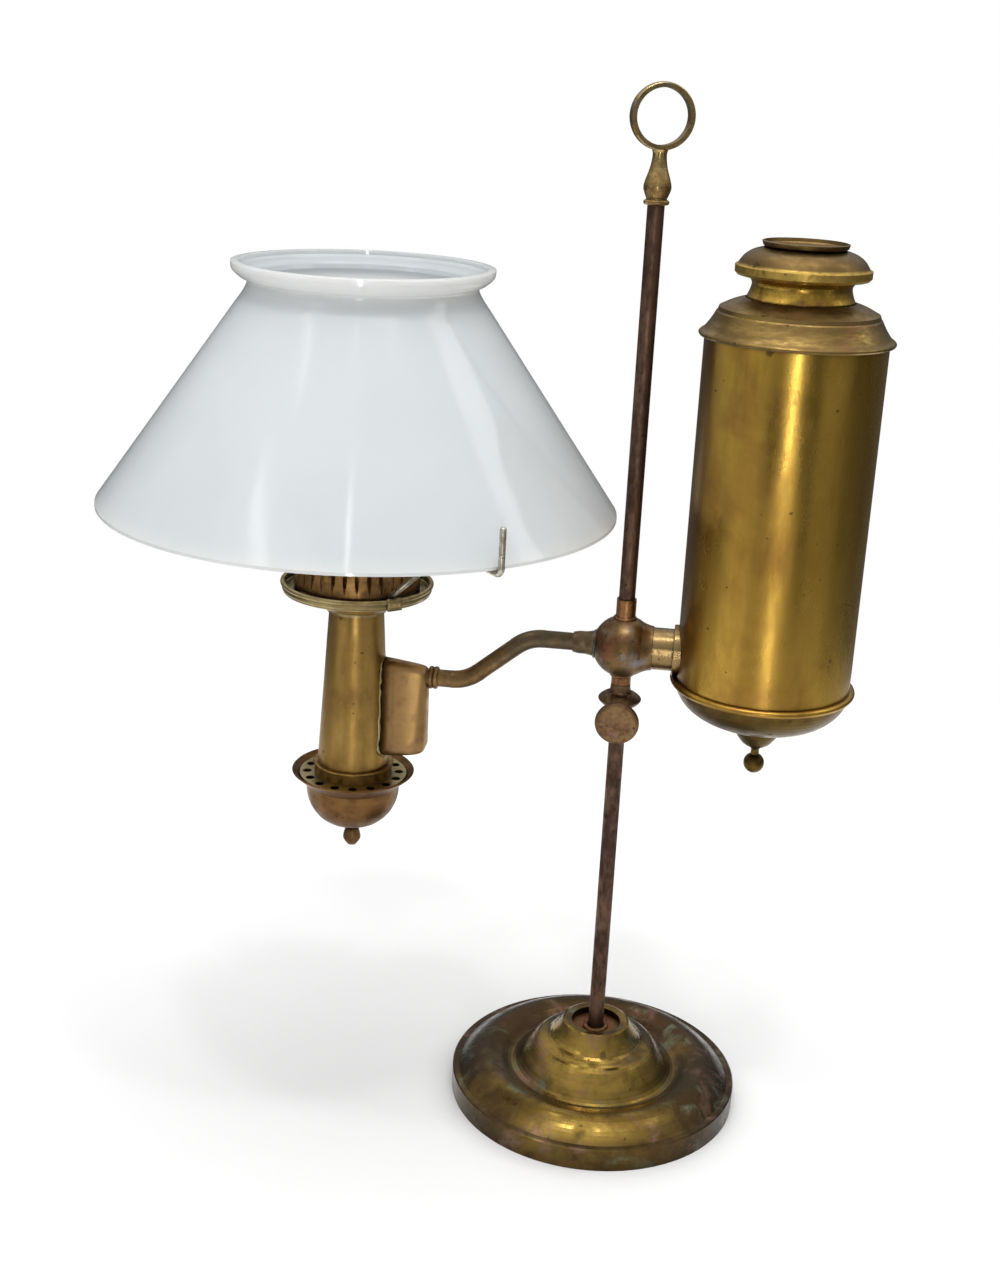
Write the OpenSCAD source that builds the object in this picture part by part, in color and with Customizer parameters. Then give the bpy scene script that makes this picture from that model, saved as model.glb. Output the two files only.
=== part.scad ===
// Student lamp for oil: a lamp body with tank, burner and shade, clamped on an upright rod.
// Millimetres. The origin is on the table, under the rod. +X points from the burner to the tank,
// and -Y points to the front, where the thumbscrew is.

/* [Foot] */
// Diameter of the foot
base_d = 151; // [136:1:170]
// Height of the upright rim band
base_rim_h = 12; // [9:0.5:14]
// Width of the step inside the rim band
base_step = 3.5; // [2:0.5:5]
// Diameter of the outer hump's crest
base_crest_d = 116; // [108:1:124]
// Height of the outer hump's crest
base_crest_h = 20.5; // [18:0.5:23]
// Diameter of the groove between the humps
base_groove_d = 86; // [80:1:92]
// Height of the groove's floor
base_groove_h = 15.5; // [14:0.5:17]
// Diameter of the inner hump's shoulder
base_dome_d = 62; // [56:1:68]
// Height of the inner hump's shoulder
base_dome_h = 29; // [26:0.5:32]
// Diameter of the lip round the rod
base_lip_d = 34; // [32:0.5:38]
// Height of the lip over the table
base_h = 41.5; // [40:0.5:48]
// Sheet thickness of the foot
base_wall = 1.2; // [0.8:0.1:1.6]
// Diameter of the recess round the rod
recess_d = 26; // [20:0.5:27]
// Depth of the recess
recess_depth = 4; // [3:0.5:6]
// Thickness of the disc in the recess
recess_disc_t = 1.5; // [1:0.1:2]
// Thickness of the plate that closes the foot
base_plate_t = 1.5; // [1:0.1:2.5]
// Width of the rod nut across its flats
rod_nut_w = 15; // [13:0.5:18]
// Height of the rod nut
rod_nut_h = 7; // [5:0.5:9]

/* [Rod and ring] */
// Diameter of the rod
rod_d = 8; // [6:0.5:10]
// Height of the rod's shoulder over the table
rod_h = 465.5; // [450:1:520]
// Diameter of the tenon on top of the rod
tenon_d = 4.5; // [3:0.5:5]
// Length of the tenon
tenon_l = 8; // [5:0.5:12]
// Diameter of the bead at the vase's foot
vase_foot_d = 12; // [11:0.5:13]
// Height of the bead at the vase's foot
vase_bead_h = 2.4; // [2:0.2:3]
// Diameter of the vase's belly
vase_d = 12.8; // [11:0.2:15]
// Height of the vase's belly over its foot
vase_belly_up = 8.5; // [7:0.5:11]
// Diameter of the vase's neck
vase_neck_d = 6.5; // [5:0.5:8]
// Height of the vase
vase_h = 24.5; // [21:0.5:30]
// Outer diameter of the carrying ring
ring_d = 30; // [29:0.5:40]
// Bore of the carrying ring
ring_bore_d = 25; // [22:0.5:27]
// Width of the ring band
ring_w = 6; // [4:0.5:8]
// Turn of the ring from the front towards the tank
ring_turn = 17; // [0:1:90]

/* [Clamp] */
// Outer diameter of the collar's sleeve
collar_d = 13; // [12:0.5:15]
// Length of the sleeve under the flange
collar_l = 18; // [14:0.5:24]
// Diameter of the saucer flange
flange_d = 21.5; // [19:0.5:24]
// Height of the saucer flange
flange_h = 7; // [5:0.5:9]
// Length of the neck over the flange
collar_neck_l = 4.5; // [3:0.5:8]
// Diameter of the thumbscrew's stem
screw_d = 5; // [4:0.5:6]
// Depth of the thumbscrew's axis under the flange
screw_drop = 4.5; // [4:0.5:8]
// Diameter of the thumbscrew's disc
head_d = 22; // [18:0.5:26]
// Thickness of the thumbscrew's disc
head_t = 4; // [3:0.5:6]
// Gap between the flange's edge and the disc
head_gap = 1.5; // [1:0.25:4]

/* [Hub and pipes] */
// Height of the hub's centre over the table
hub_z = 252.5; // [235:1:280]
// Diameter of the hub ball
hub_d = 31; // [30:0.5:36]
// Wall of the hub ball
hub_wall = 1.5; // [1:0.1:2]
// Wall of the sleeve through the hub
sleeve_wall = 0.8; // [0.6:0.1:1.2]
// Length of the sleeve above the hub
sleeve_above = 9; // [5:0.5:14]
// Length of the sleeve below the hub
sleeve_below = 4; // [2:0.5:8]
// Diameter of the pipe to the tank
tank_pipe_d = 21; // [18:0.5:23]
// Wall of the pipe to the tank
tank_pipe_wall = 1.2; // [0.8:0.1:2]
// Distance from the rod's axis to the tank's wall
tank_pipe_run = 26.7; // [25:0.5:36]
// Diameter of the pipe's cone at the hub
tank_pipe_cone_d = 24.5; // [23.5:0.5:26]
// Distance from the rod's axis to the end of the cone
tank_pipe_cone_x = 13.5; // [13:0.5:16]
// Diameter of the ring where the pipe meets the tank
tank_ring_d = 25.5; // [24.5:0.5:30]
// Width of that ring in front of the tank
tank_ring_w = 2.2; // [1.5:0.1:4]
// Diameter of the bent feed pipe
arm_d = 8.8; // [7.6:0.2:9.4]
// Wall of the feed pipe
arm_wall = 0.9; // [0.6:0.1:1.2]
// Drop of the feed pipe from the hub to the burner
arm_drop = 25.5; // [20:0.5:34]
// Radius of the feed pipe's bends
arm_bend_r = 20; // [14:0.5:22]
// Slope of the feed pipe between its bends
arm_slope = 40; // [36:1:50]
// Level length of the feed pipe at the feed box
arm_level = 12; // [9:0.5:16]
// Diameter of the pipe's socket at the hub
arm_socket_d = 12.6; // [12:0.2:13.6]
// Distance from the rod's axis to the end of the socket
arm_socket_x = 25; // [21:0.5:28]
// Diameter of the beads on the feed pipe
arm_bead_d = 11.6; // [11:0.2:12.6]
// Width of one bead on the feed pipe
arm_bead_w = 2.4; // [1.6:0.2:3.4]

/* [Tank] */
// Diameter of the tank
tank_d = 85.3; // [80:0.5:100]
// Height of the tank's casing
tank_h = 169.5; // [150:0.5:190]
// Wall of the casing
tank_wall = 0.9; // [0.6:0.1:1.4]
// Height of the casing under its pipe
tank_sump = 3; // [2:0.5:6]
// Diameter of the bead round the tank's foot
tank_bead_d = 90.6; // [88:0.2:108]
// Height of that bead
tank_bead_h = 3.4; // [2.4:0.2:5]
// Depth of the dome under the tank
tank_dome_h = 20.5; // [17:0.5:28]
// Diameter of the boss under the dome
tank_boss_d = 25; // [20:0.5:32]
// Height of the boss
tank_boss_h = 12; // [9:0.5:15]
// Diameter of the ball finial
tank_ball_d = 10.4; // [8:0.2:13]
// Diameter of the boss where it meets the ball finial
tank_boss_low_d = 10; // [8:0.5:14]
// Length of the ball finial's neck
tank_ball_neck = 5; // [4:0.5:9]
// Diameter of the peg that lifts the valve
peg_d = 5; // [4:0.5:7]

/* [Oil font] */
// Gap between the font and the casing
font_play = 1; // [0.6:0.1:2]
// Sheet thickness of the font
font_wall = 0.9; // [0.7:0.1:1.2]
// Diameter of the lip over the casing
lip_d = 91; // [89:0.2:108]
// Height of the lip
lip_h = 3; // [2:0.5:5]
// Height of the shoulder over the casing
shoulder_h = 18.5; // [17.5:0.5:24]
// Diameter of the step in the shoulder
shoulder_step_d = 75; // [70:1:78]
// Height of that step over the casing
shoulder_step_up = 12; // [10:0.5:14]
// Height of that step's edge
shoulder_step_h = 1.8; // [1:0.2:2.2]
// Diameter of the neck
neck_d = 49.5; // [44:0.5:56]
// Height of the neck
neck_h = 10.2; // [7:0.2:14]
// Diameter of the neck's waist
neck_waist_d = 46; // [42:0.5:48]
// Diameter of the grip's rim
grip_d = 62.6; // [60:0.2:70]
// Height of the grip's rim band
grip_band_h = 5; // [3.5:0.1:6]
// Height of the grip
grip_h = 12.7; // [11:0.1:16]
// Diameter of the dish on top
dish_d = 40; // [36:0.5:46]
// Height of the dish
dish_h = 2.8; // [2:0.2:5]
// Diameter of the bottle's mouth
mouth_d = 28; // [24:0.5:34]
// Length of the bottle's mouth
mouth_l = 12; // [10:0.5:16]
// Height of the mouth over the casing's lower edge
mouth_up = 6; // [4:0.5:9]
// Height of the cone over the mouth
bottle_cone_h = 14; // [10:0.5:20]
// Bore of the valve seat
valve_bore_d = 14; // [10:0.5:16]
// Thickness of the valve seat
valve_seat_t = 3; // [2:0.5:4]
// Diameter of the valve washer
washer_d = 20; // [18:0.5:22]
// Thickness of the valve washer
washer_t = 2; // [1.5:0.1:3]
// Height that the peg lifts the valve
valve_lift = 3; // [2:0.25:4]
// Diameter of the valve stem
stem_d = 4; // [3:0.5:5]
// Length of the stem under the valve seat
stem_below = 3; // [2:0.5:3.5]

/* [Burner] */
// Distance from the burner's axis to the feed box's outer face
box_reach = 38; // [34:0.5:44]
// Thickness of the feed box
box_t = 19; // [16:0.5:24]
// Height of the feed box
box_h = 46.5; // [40:0.5:56]
// Radius of the feed box's outer edges
box_round = 6; // [4:0.5:7]
// Wall of the feed box
box_wall = 1; // [0.7:0.1:1.5]
// Cover of the feed box over the feed pipe
box_cover = 1.5; // [1.2:0.1:4]
// Width of the seam flange on the burner tube
box_seam = 1.6; // [1:0.2:3]
// Diameter of the burner tube at its top
tube_top_d = 27.6; // [26.4:0.2:30]
// Diameter of the burner tube at its foot
tube_foot_d = 36.4; // [33:0.2:37.2]
// Wall of the burner tube
tube_wall = 0.8; // [0.6:0.1:1]
// Length of the straight foot of the burner tube
tube_foot_l = 15; // [14:0.5:17]
// Length of the burner tube under the feed box
tube_below = 18.5; // [17.5:0.5:24]
// Length of the burner tube over the shade ring's seat
tube_above = 36; // [32:0.5:40]
// Diameter of the inner draft tube
draft_d = 19; // [17:0.2:19.6]
// Wall of the draft tube
draft_wall = 0.7; // [0.5:0.1:1]
// Length of the draft tube under the burner tube
draft_below = 4; // [1:0.5:8]
// Thickness of the floor between the tubes
floor_t = 1.5; // [1:0.1:3]

/* [Shade and its ring] */
// Diameter of the shade at its lower edge
shade_d = 254; // [236:2:290]
// Height of the shade
shade_h = 116; // [104:1:130]
// Glass thickness
shade_wall = 3.5; // [2.5:0.1:4.5]
// Diameter of the shade's neck
shade_neck_d = 109.2; // [102:0.2:116]
// Diameter of the shade's top lip
shade_lip_d = 125.2; // [119:0.2:134]
// Height of the neck and lip
shade_neck_h = 11; // [8:0.5:13]
// Height of the upright edge at the shade's foot
shade_rim_h = 1.5; // [1:0.25:3]
// Gap between the shade's edge and the vase on the rod
shade_clear = 1.6; // [0.6:0.1:8]
// Height of the shade ring's seat over the feed box
ring_up = 29; // [24:0.5:36]
// Length of the shade ring's collar under its seat
ring_collar_l = 2; // [1:0.5:6]
// Diameter of the shade ring
shade_ring_d = 75; // [73:0.2:84]
// Height of the shade ring
shade_ring_h = 12.5; // [11:0.5:15]
// Sheet thickness of the shade ring
shade_ring_wall = 1.2; // [0.8:0.1:1.6]
// Width of the gutter in the shade ring
gutter_w = 5.2; // [4.6:0.2:5.6]
// Height of the shade's edge over the shade ring's rim
shade_rise = 40.5; // [34:0.5:50]
// Diameter of the shade arms' wire
wire_d = 3; // [2:0.2:3.4]
// Bearing of the front shade arm
front_arm_turn = -50; // [-70:1:-30]
// Bearing of the shade arm at the back, on the rod's side
rod_side_arm_turn = 60; // [52:1:75]
// Bearing of the shade arm at the back, on the outer side
outer_arm_turn = 150; // [135:1:165]
// Length of the upturned end of a shade arm
prong_h = 17; // [8:0.5:24]
// Level length of a shade arm under the shade's edge
prong_reach = 40; // [30:1:48]
// Bend radius of the shade arms
wire_bend_r = 3.5; // [2.5:0.25:5]

/* [Gallery and wick] */
// Diameter of the crown at its foot
crown_d = 63; // [60:0.2:63.4]
// Diameter of the crown at its top
crown_top_d = 56; // [50:0.5:60]
// Height of the crown
crown_h = 24; // [20:0.5:30]
// Sheet thickness of the crown
crown_wall = 0.7; // [0.5:0.1:1]
// Number of slots in the crown
slots = 32; // [20:1:36]
// Width of a slot
slot_w = 2.2; // [1.4:0.1:3]
// Height of a slot
slot_h = 15; // [10:0.5:16]
// Height of the slots over the crown's foot
slot_up = 2.5; // [2:0.1:4]
// Length of the gallery's sleeve
gallery_sleeve_l = 15; // [12:0.5:18]
// Wall of the gallery's sleeve
gallery_sleeve_wall = 0.8; // [0.6:0.1:1]
// Height of the gallery's plate over the sleeve's foot
gallery_plate_up = 11; // [10:0.5:11.5]
// Number of holes in the gallery's plate
plate_holes = 24; // [12:1:28]
// Diameter of a hole in the gallery's plate
plate_hole_d = 4; // [2.5:0.1:4.2]
// Gap between the wick and the tubes
wick_play = 0.4; // [0.3:0.05:0.6]
// Length of the wick
wick_l = 62; // [50:1:80]
// Height of the wick over the burner tube
wick_up = 2; // [0:0.5:6]
// Height of the wick carrier
carrier_h = 5; // [3:0.5:8]

/* [Drip cup] */
// Diameter of the cup's lip
cup_lip_d = 63; // [61:0.2:72]
// Diameter of the bowl's waist
cup_d = 48; // [46:0.5:54]
// Depth of the cup from its lip
cup_h = 30; // [26:0.5:36]
// Height of the lip over the waist
cup_flare_h = 9; // [7:0.5:11]
// Sheet thickness of the cup
cup_wall = 0.9; // [0.6:0.1:1.2]
// Height of the cup's lip over the foot of the burner tube
cup_up = 5; // [4.5:0.5:7.5]
// Outer diameter of the cup's band
band_d = 39.8; // [39.2:0.2:42]
// Height of the cup's band
band_h = 7.5; // [5:0.5:9]
// Width of the bead on the band
band_bead = 0.8; // [0.4:0.1:1.4]
// Number of holes in the air plate
air_holes = 16; // [10:1:18]
// Diameter of a hole in the air plate
air_hole_d = 4.6; // [2.5:0.1:5]
// Thickness of the air plate
air_plate_t = 0.9; // [0.6:0.1:1.4]
// Diameter of the knob under the cup
cup_knob_d = 9.2; // [7:0.2:11]
// Length of the knob under the cup
cup_knob_l = 12.5; // [10:0.5:16]

/* [Fits] */
// Radial clearance of pieces that turn or slide on each other
run_fit = 0.08; // [0.04:0.01:0.1]
// Clearance of pieces that are fixed to each other
seat = 0.05; // [0.02:0.01:0.1]
// Gap between pieces that rest on each other and come apart
stand_off = 0.3; // [0.2:0.05:0.5]

/* [Hidden] */
$fn = 96;

brass = [0.62, 0.47, 0.18];
brown_brass = [0.45, 0.33, 0.16];
copper_brass = [0.60, 0.40, 0.24];
pale_brass = [0.66, 0.58, 0.36];
rod_brown = [0.24, 0.17, 0.13];
opal = [0.90, 0.92, 0.94];
wire_grey = [0.56, 0.55, 0.50];
iron = [0.18, 0.18, 0.18];
cotton = [0.86, 0.82, 0.72];
cork = [0.45, 0.30, 0.20];

// Fine allowances that keep edges, cuts and bends clean
eps = 0.01;
edge = 0.6;
bend_lap = 2;
bend_swell = 0.08;

// Foot
base_r = base_d / 2;
lip_r_foot = base_lip_d / 2;
recess_r = recess_d / 2;
recess_floor = base_h - recess_depth;
weight_gap = 0.5;
weight_low = base_plate_t + stand_off;
weight_top = recess_floor - recess_disc_t - seat;
rod_low = base_plate_t + stand_off;

// Rod, ring and clamp
rod_r = rod_d / 2;
rod_bore_r = rod_r + run_fit;
ring_z = rod_h + vase_h + ring_d / 2 - edge;
hub_r = hub_d / 2;
sleeve_r = rod_bore_r + sleeve_wall;
sleeve_low = hub_z - hub_r - sleeve_below;
sleeve_high = hub_z + hub_r + sleeve_above;
collar_top = sleeve_low - stand_off;
flange_top = collar_top - collar_neck_l;
flange_low = flange_top - flange_h;
collar_low = flange_low - collar_l;
screw_z = flange_low - screw_drop;
head_back = max(flange_d, collar_d) / 2 + head_gap;
screw_tip = rod_r + run_fit;
screw_end = head_back + head_t - edge;

// Tank
tank_r = tank_d / 2;
tank_x = tank_pipe_run + tank_r;
tank_low = hub_z - tank_pipe_d / 2 - tank_sump;
tank_high = tank_low + tank_h;
dome_low = tank_low - tank_dome_h;
boss_r = tank_boss_d / 2;
boss_low = dome_low - tank_boss_h;
tank_inner_r = tank_r - tank_wall;
pipe_bore_r = tank_pipe_d / 2 - tank_pipe_wall;

// Font and valve
bottle_r = tank_inner_r - font_play;
bottle_top = tank_high + stand_off;
lip_r = lip_d / 2;
shoulder_top = tank_high + shoulder_h;
neck_r = neck_d / 2;
neck_low = shoulder_top + seat;
grip_low = neck_low + neck_h + seat;
grip_r = grip_d / 2;
dish_low = grip_low + grip_h + seat;
dish_r = dish_d / 2;
mouth_r = mouth_d / 2;
mouth_low = tank_low + mouth_up;
seat_top = mouth_low + valve_seat_t;
washer_low = seat_top + stand_off + valve_lift;
stem_low = mouth_low - stem_below;
stem_r = stem_d / 2;
peg_top = stem_low - stand_off;

// Burner
shade_r = shade_d / 2;
burner_x = -(shade_r + vase_d / 2 + shade_clear);
arm_low_z = hub_z - arm_drop;
box_x = burner_x + box_reach;
box_top = arm_low_z + arm_d / 2 + box_cover;
box_low = box_top - box_h;
tube_low = box_low - tube_below;
tube_cone_low = tube_low + tube_foot_l;
ring_seat = box_top + ring_up;
tube_cone_high = ring_seat - ring_collar_l - seat;
tube_high = ring_seat + tube_above;
tube_top_r = tube_top_d / 2;
tube_foot_r = tube_foot_d / 2;
draft_r = draft_d / 2;

// Shade, its ring and its arms
ring_rim_r = shade_ring_d / 2;
ring_rim_z = ring_seat + shade_ring_h;
gutter_r = ring_rim_r - gutter_w / 2 - edge;
gutter_z = ring_rim_z - wire_d;
shade_z = ring_rim_z + shade_rise;
shade_top = shade_z + shade_h;
wire_z = shade_z - stand_off - wire_d / 2;
wire_foot_z = gutter_z + seat;
wire_leg = wire_d;
bend_in_r = wire_bend_r - wire_d / 2;
bend_reach = sqrt(pow(bend_in_r - bend_swell - run_fit, 2) - pow(bend_in_r - stand_off, 2));
prong_r = shade_r + max(stand_off, bend_in_r - bend_reach) + wire_d / 2;
wire_rise = wire_z - wire_foot_z - wire_leg - wire_bend_r;
wire_out = prong_r - gutter_r - 2 * wire_bend_r - prong_reach;
wire_slope = atan2(wire_rise, wire_out);

// Gallery and wick
gallery_low = ring_seat + shade_ring_wall + stand_off;
gallery_bore_r = tube_top_r + run_fit;
gallery_sleeve_r = gallery_bore_r + gallery_sleeve_wall;
gallery_plate_z = gallery_low + gallery_plate_up;
crown_r = crown_d / 2;
crown_inner_r = crown_r - crown_wall;
wick_in_r = draft_r + wick_play;
wick_out_r = tube_top_r - tube_wall - wick_play;
wick_top = tube_high + wick_up;
wick_low = wick_top - wick_l;

// Drip cup
cup_lip_z = tube_low + cup_up;
cup_lip_r = cup_lip_d / 2;
cup_waist_r = cup_d / 2;
cup_low = cup_lip_z - cup_h;
air_plate_z = cup_lip_z - cup_flare_h / 4;
band_r = band_d / 2;
band_bore_r = tube_foot_r + run_fit;
flare_rise = [(cup_lip_r - cup_waist_r) / 3, cup_flare_h / 4];
air_plate_r = cup_lip_r - flare_rise.x - cup_wall * norm(flare_rise) / flare_rise.y - seat;

// Outlines: a path keeps the outside of its piece on its right hand

// Points of an arc round a centre
function arc(centre, r, from, to, n = 8) =
    [for (i = [0 : n]) let (a = from + (to - from) * i / n) centre + r * [cos(a), sin(a)]];

// Points of an ellipse round a centre
function oval(centre, rx, ry, from, to, n = 8) =
    [for (i = [0 : n]) let (a = from + (to - from) * i / n) centre + [rx * cos(a), ry * sin(a)]];

// One point of a smooth curve between b and c
function curve_point(a, b, c, d, t) =
    (2 * b + (c - a) * t + (2 * a - 5 * b + 4 * c - d) * t * t + (3 * b - a - 3 * c + d) * t * t * t) / 2;

// Smooth curve through points
function smooth(p, n = 5) =
    let (last = len(p) - 1)
    [
        for (i = [0 : last - 1])
            for (k = [0 : n - 1])
                curve_point(p[max(i - 1, 0)], p[i], p[i + 1], p[min(i + 2, last)], k / n),
        p[last],
    ];

function unit(v) = v / norm(v);
function right_of(a, b) = let (d = unit(b - a)) [d.y, -d.x];
function backwards(p) = [for (i = [len(p) - 1 : -1 : 0]) p[i]];

// The path moved to its left by a thickness
function inside_of(path, wall) =
    let (last = len(path) - 1)
    [
        for (i = [0 : last])
            let (before = right_of(path[max(i - 1, 0)], path[max(i, 1)]))
            let (after = right_of(path[min(i, last - 1)], path[min(i + 1, last)]))
            let (middle = unit(before + after))
            path[i] - wall / (middle * before) * middle
    ];

// Closed outline of sheet metal or glass along a path
function sheet(path, wall) = concat(path, backwards(inside_of(path, wall)));

// A turned or spun piece
module turned(outline) {
    rotate_extrude() polygon(outline);
}

// A straight tube along Z
module tube(outer_r, inner_r, low, high) {
    translate([0, 0, low])
        linear_extrude(high - low)
            difference() {
                circle(outer_r);
                circle(inner_r);
            }
}

// A bent bar in the XZ plane that starts along +X.
// Each step is a straight length, a turn towards +Z in degrees, and the radius of that turn.
// A turn is a hair thicker than the straights and laps over their ends.
module bent(steps, d, i = 0) {
    straight = steps[i][0];
    turn = steps[i][1];
    r = steps[i][2];
    up = turn > 0 ? 1 : -1;
    rotate([0, 90, 0]) cylinder(d = d, h = straight);
    if (turn != 0)
        translate([straight, 0, 0]) {
            translate([0, 0, up * r])
                rotate([90, 0, 0])
                    rotate([0, 0, (up > 0 ? -90 : 90 + turn) - bend_lap])
                        rotate_extrude(angle = abs(turn) + 2 * bend_lap)
                            translate([r, 0])
                                circle(d = d + 2 * bend_swell);
            translate([r * sin(abs(turn)), 0, up * r * (1 - cos(turn))])
                rotate([0, -turn, 0])
                    bent(steps, d, i + 1);
        }
}

// Places
module at_tank() {
    translate([tank_x, 0, 0]) children();
}

module at_burner() {
    translate([burner_x, 0, 0]) children();
}

// Puts the Z axis of a piece along X through the hub
module along_pipe() {
    translate([0, 0, hub_z]) rotate([0, 90, 0]) children();
}

module at_screw() {
    translate([0, 0, screw_z]) rotate([90, 0, 0]) children();
}

// Foot

base_path = concat(
    [[base_r, 0], [base_r, base_rim_h - edge], [base_r - edge, base_rim_h]],
    smooth([
        [base_r - base_step, base_rim_h],
        [(base_r - base_step + base_crest_d / 2) / 2, (2 * base_crest_h + base_rim_h) / 3],
        [base_crest_d / 2, base_crest_h],
        [(base_crest_d + base_groove_d) / 4, (2 * base_crest_h + base_groove_h) / 3],
        [base_groove_d / 2, base_groove_h],
        [(base_groove_d + base_dome_d) / 4, (base_groove_h + base_dome_h) / 2],
        [base_dome_d / 2, base_dome_h],
        [(base_dome_d + base_lip_d) / 4, (3 * base_dome_h + base_h) / 4],
        [lip_r_foot + edge, base_h - edge],
    ]),
    [[lip_r_foot - edge, base_h]],
);

module base_shell() {
    path = concat(base_path, [[recess_r, base_h - edge], [recess_r, recess_floor]]);
    color(brass) turned(sheet(path, base_wall));
}

module base_weight() {
    cast = concat(
        inside_of(base_path, base_wall + weight_gap),
        [[0, weight_top], [0, 0]],
    );
    color(iron)
        difference() {
            intersection() {
                turned(cast);
                union() {
                    translate([0, 0, weight_low]) cylinder(r = base_r, h = recess_floor / 2);
                    translate([0, 0, weight_low]) cylinder(r = recess_r, h = weight_top - weight_low);
                }
            }
            translate([0, 0, -eps]) cylinder(r = rod_r + seat, h = base_h);
            translate([0, 0, weight_low - eps]) cylinder(d = 2 * rod_nut_w, h = rod_nut_h + seat + eps);
        }
}

module base_plate() {
    color(iron) cylinder(r = base_r - base_wall - seat, h = base_plate_t);
}

module rod_nut() {
    color(iron)
        translate([0, 0, weight_low])
            difference() {
                cylinder(d = rod_nut_w / cos(30), h = rod_nut_h, $fn = 6);
                translate([0, 0, -eps]) cylinder(r = rod_r + seat, h = rod_nut_h + 2 * eps);
            }
}

module recess_disc() {
    color(copper_brass) tube(recess_r - seat, rod_r + seat, recess_floor - recess_disc_t, recess_floor);
}

// Rod and ring

module rod() {
    color(rod_brown) {
        translate([0, 0, rod_low]) cylinder(r = rod_r, h = rod_h - rod_low);
        translate([0, 0, rod_h - eps]) cylinder(d = tenon_d, h = tenon_l + eps);
    }
}

module ring_handle() {
    foot = rod_h + seat;
    foot_r = vase_foot_d / 2;
    bead_r = vase_bead_h / 2;
    vase = concat(
        [[tenon_d / 2 + seat, foot]],
        arc([foot_r - bead_r, foot + bead_r], bead_r, -90, 90, 6),
        smooth([
            [foot_r - 2 * edge, foot + vase_bead_h + edge],
            [foot_r - edge, foot + vase_belly_up / 2],
            [vase_d / 2, foot + vase_belly_up],
            [(vase_d + 3 * vase_neck_d) / 8, foot + (vase_h + vase_belly_up) / 2],
            [vase_neck_d / 2, foot + vase_h - vase_bead_h],
            [vase_neck_d / 2 + edge, foot + vase_h],
        ]),
        [
            [0, foot + vase_h],
            [0, foot + tenon_l],
            [tenon_d / 2 + seat, foot + tenon_l],
        ],
    );
    band = ring_w / 2;
    color(brown_brass) {
        difference() {
            turned(vase);
            at_ring() cylinder(d = ring_d - 2 * edge, h = 2 * ring_w, center = true);
        }
        at_ring()
            rotate_extrude()
                polygon(concat(
                    [[ring_bore_d / 2, band], [ring_bore_d / 2, -band]],
                    oval([ring_d / 2 - edge, 0], edge, band, -90, 90, 10),
                ));
    }
}

module at_ring() {
    translate([0, 0, ring_z]) rotate([90, 0, ring_turn]) children();
}

// Clamp

module clamp_collar() {
    outline = concat(
        [[rod_bore_r, collar_low], [collar_d / 2 - edge, collar_low], [collar_d / 2, collar_low + edge]],
        [[collar_d / 2, flange_low]],
        smooth([
            [(collar_d + flange_d) / 4, flange_low + flange_h / 8],
            [flange_d / 2 - edge, flange_low + flange_h / 3],
            [flange_d / 2, flange_low + flange_h / 2],
            [flange_d / 2 - edge, flange_low + flange_h * 2 / 3],
            [(flange_d / 2 + sleeve_r) / 2, flange_top - edge],
            [sleeve_r + edge, flange_top + edge],
            [sleeve_r, collar_top],
        ]),
        [[rod_bore_r, collar_top]],
    );
    color(brown_brass)
        difference() {
            turned(outline);
            at_screw() cylinder(r = screw_d / 2 + run_fit, h = collar_d);
        }
}

module thumbscrew_stem() {
    color(brown_brass)
        at_screw()
            translate([0, 0, screw_tip])
                cylinder(d = screw_d, h = screw_end - screw_tip);
}

module thumbscrew_head() {
    head_r = head_d / 2;
    front = head_back + head_t;
    outline = concat(
        [[screw_d / 2 + seat, head_back], [head_r - 2 * edge, head_back]],
        smooth([
            [head_r - edge, head_back + edge],
            [head_r, head_back + head_t / 2],
            [head_r - edge, front - edge],
        ]),
        [[head_r - 3 * edge, front], [0, front]],
        [[0, screw_end + seat], [screw_d / 2 + seat, screw_end + seat]],
    );
    color(brown_brass) at_screw() turned(outline);
}

// Hub and pipes

module hub() {
    color(brown_brass)
        difference() {
            translate([0, 0, hub_z]) sphere(hub_r);
            translate([0, 0, hub_z]) sphere(hub_r - hub_wall);
            translate([0, 0, hub_z - hub_d]) cylinder(r = sleeve_r + seat, h = 2 * hub_d);
            along_pipe() cylinder(r = pipe_bore_r, h = hub_d);
            along_pipe() translate([0, 0, -hub_d]) cylinder(r = arm_d / 2 + seat, h = hub_d);
        }
}

module hub_sleeve() {
    color(copper_brass) tube(sleeve_r, rod_bore_r, sleeve_low, sleeve_high);
}

module tank_pipe() {
    color(brass)
        difference() {
            along_pipe()
                turned([
                    [pipe_bore_r, 0],
                    [tank_pipe_cone_d / 2, 0],
                    [tank_pipe_cone_d / 2, tank_pipe_cone_x / 2],
                    [tank_pipe_d / 2, tank_pipe_cone_x],
                    [tank_pipe_d / 2, tank_x],
                    [pipe_bore_r, tank_x],
                ]);
            translate([0, 0, hub_z]) sphere(hub_r + seat);
            at_tank() translate([0, 0, tank_low]) cylinder(r = tank_r + seat, h = tank_h);
        }
}

module tank_ring() {
    inner = tank_pipe_d / 2 + seat;
    outer = tank_ring_d / 2;
    front = tank_pipe_run - tank_ring_w;
    color(brass)
        difference() {
            along_pipe()
                turned(concat(
                    [[inner, front + outer], [inner, front]],
                    arc([outer - edge, front + edge], edge, -90, 0, 4),
                    [[outer, front + outer]],
                ));
            at_tank() translate([0, 0, tank_low]) cylinder(r = tank_r + seat, h = tank_h);
            at_tank()
                translate([0, 0, tank_low - tank_bead_h])
                    cylinder(r = tank_bead_d / 2 + seat, h = tank_bead_h * 3 / 2 + seat);
        }
}

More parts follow.
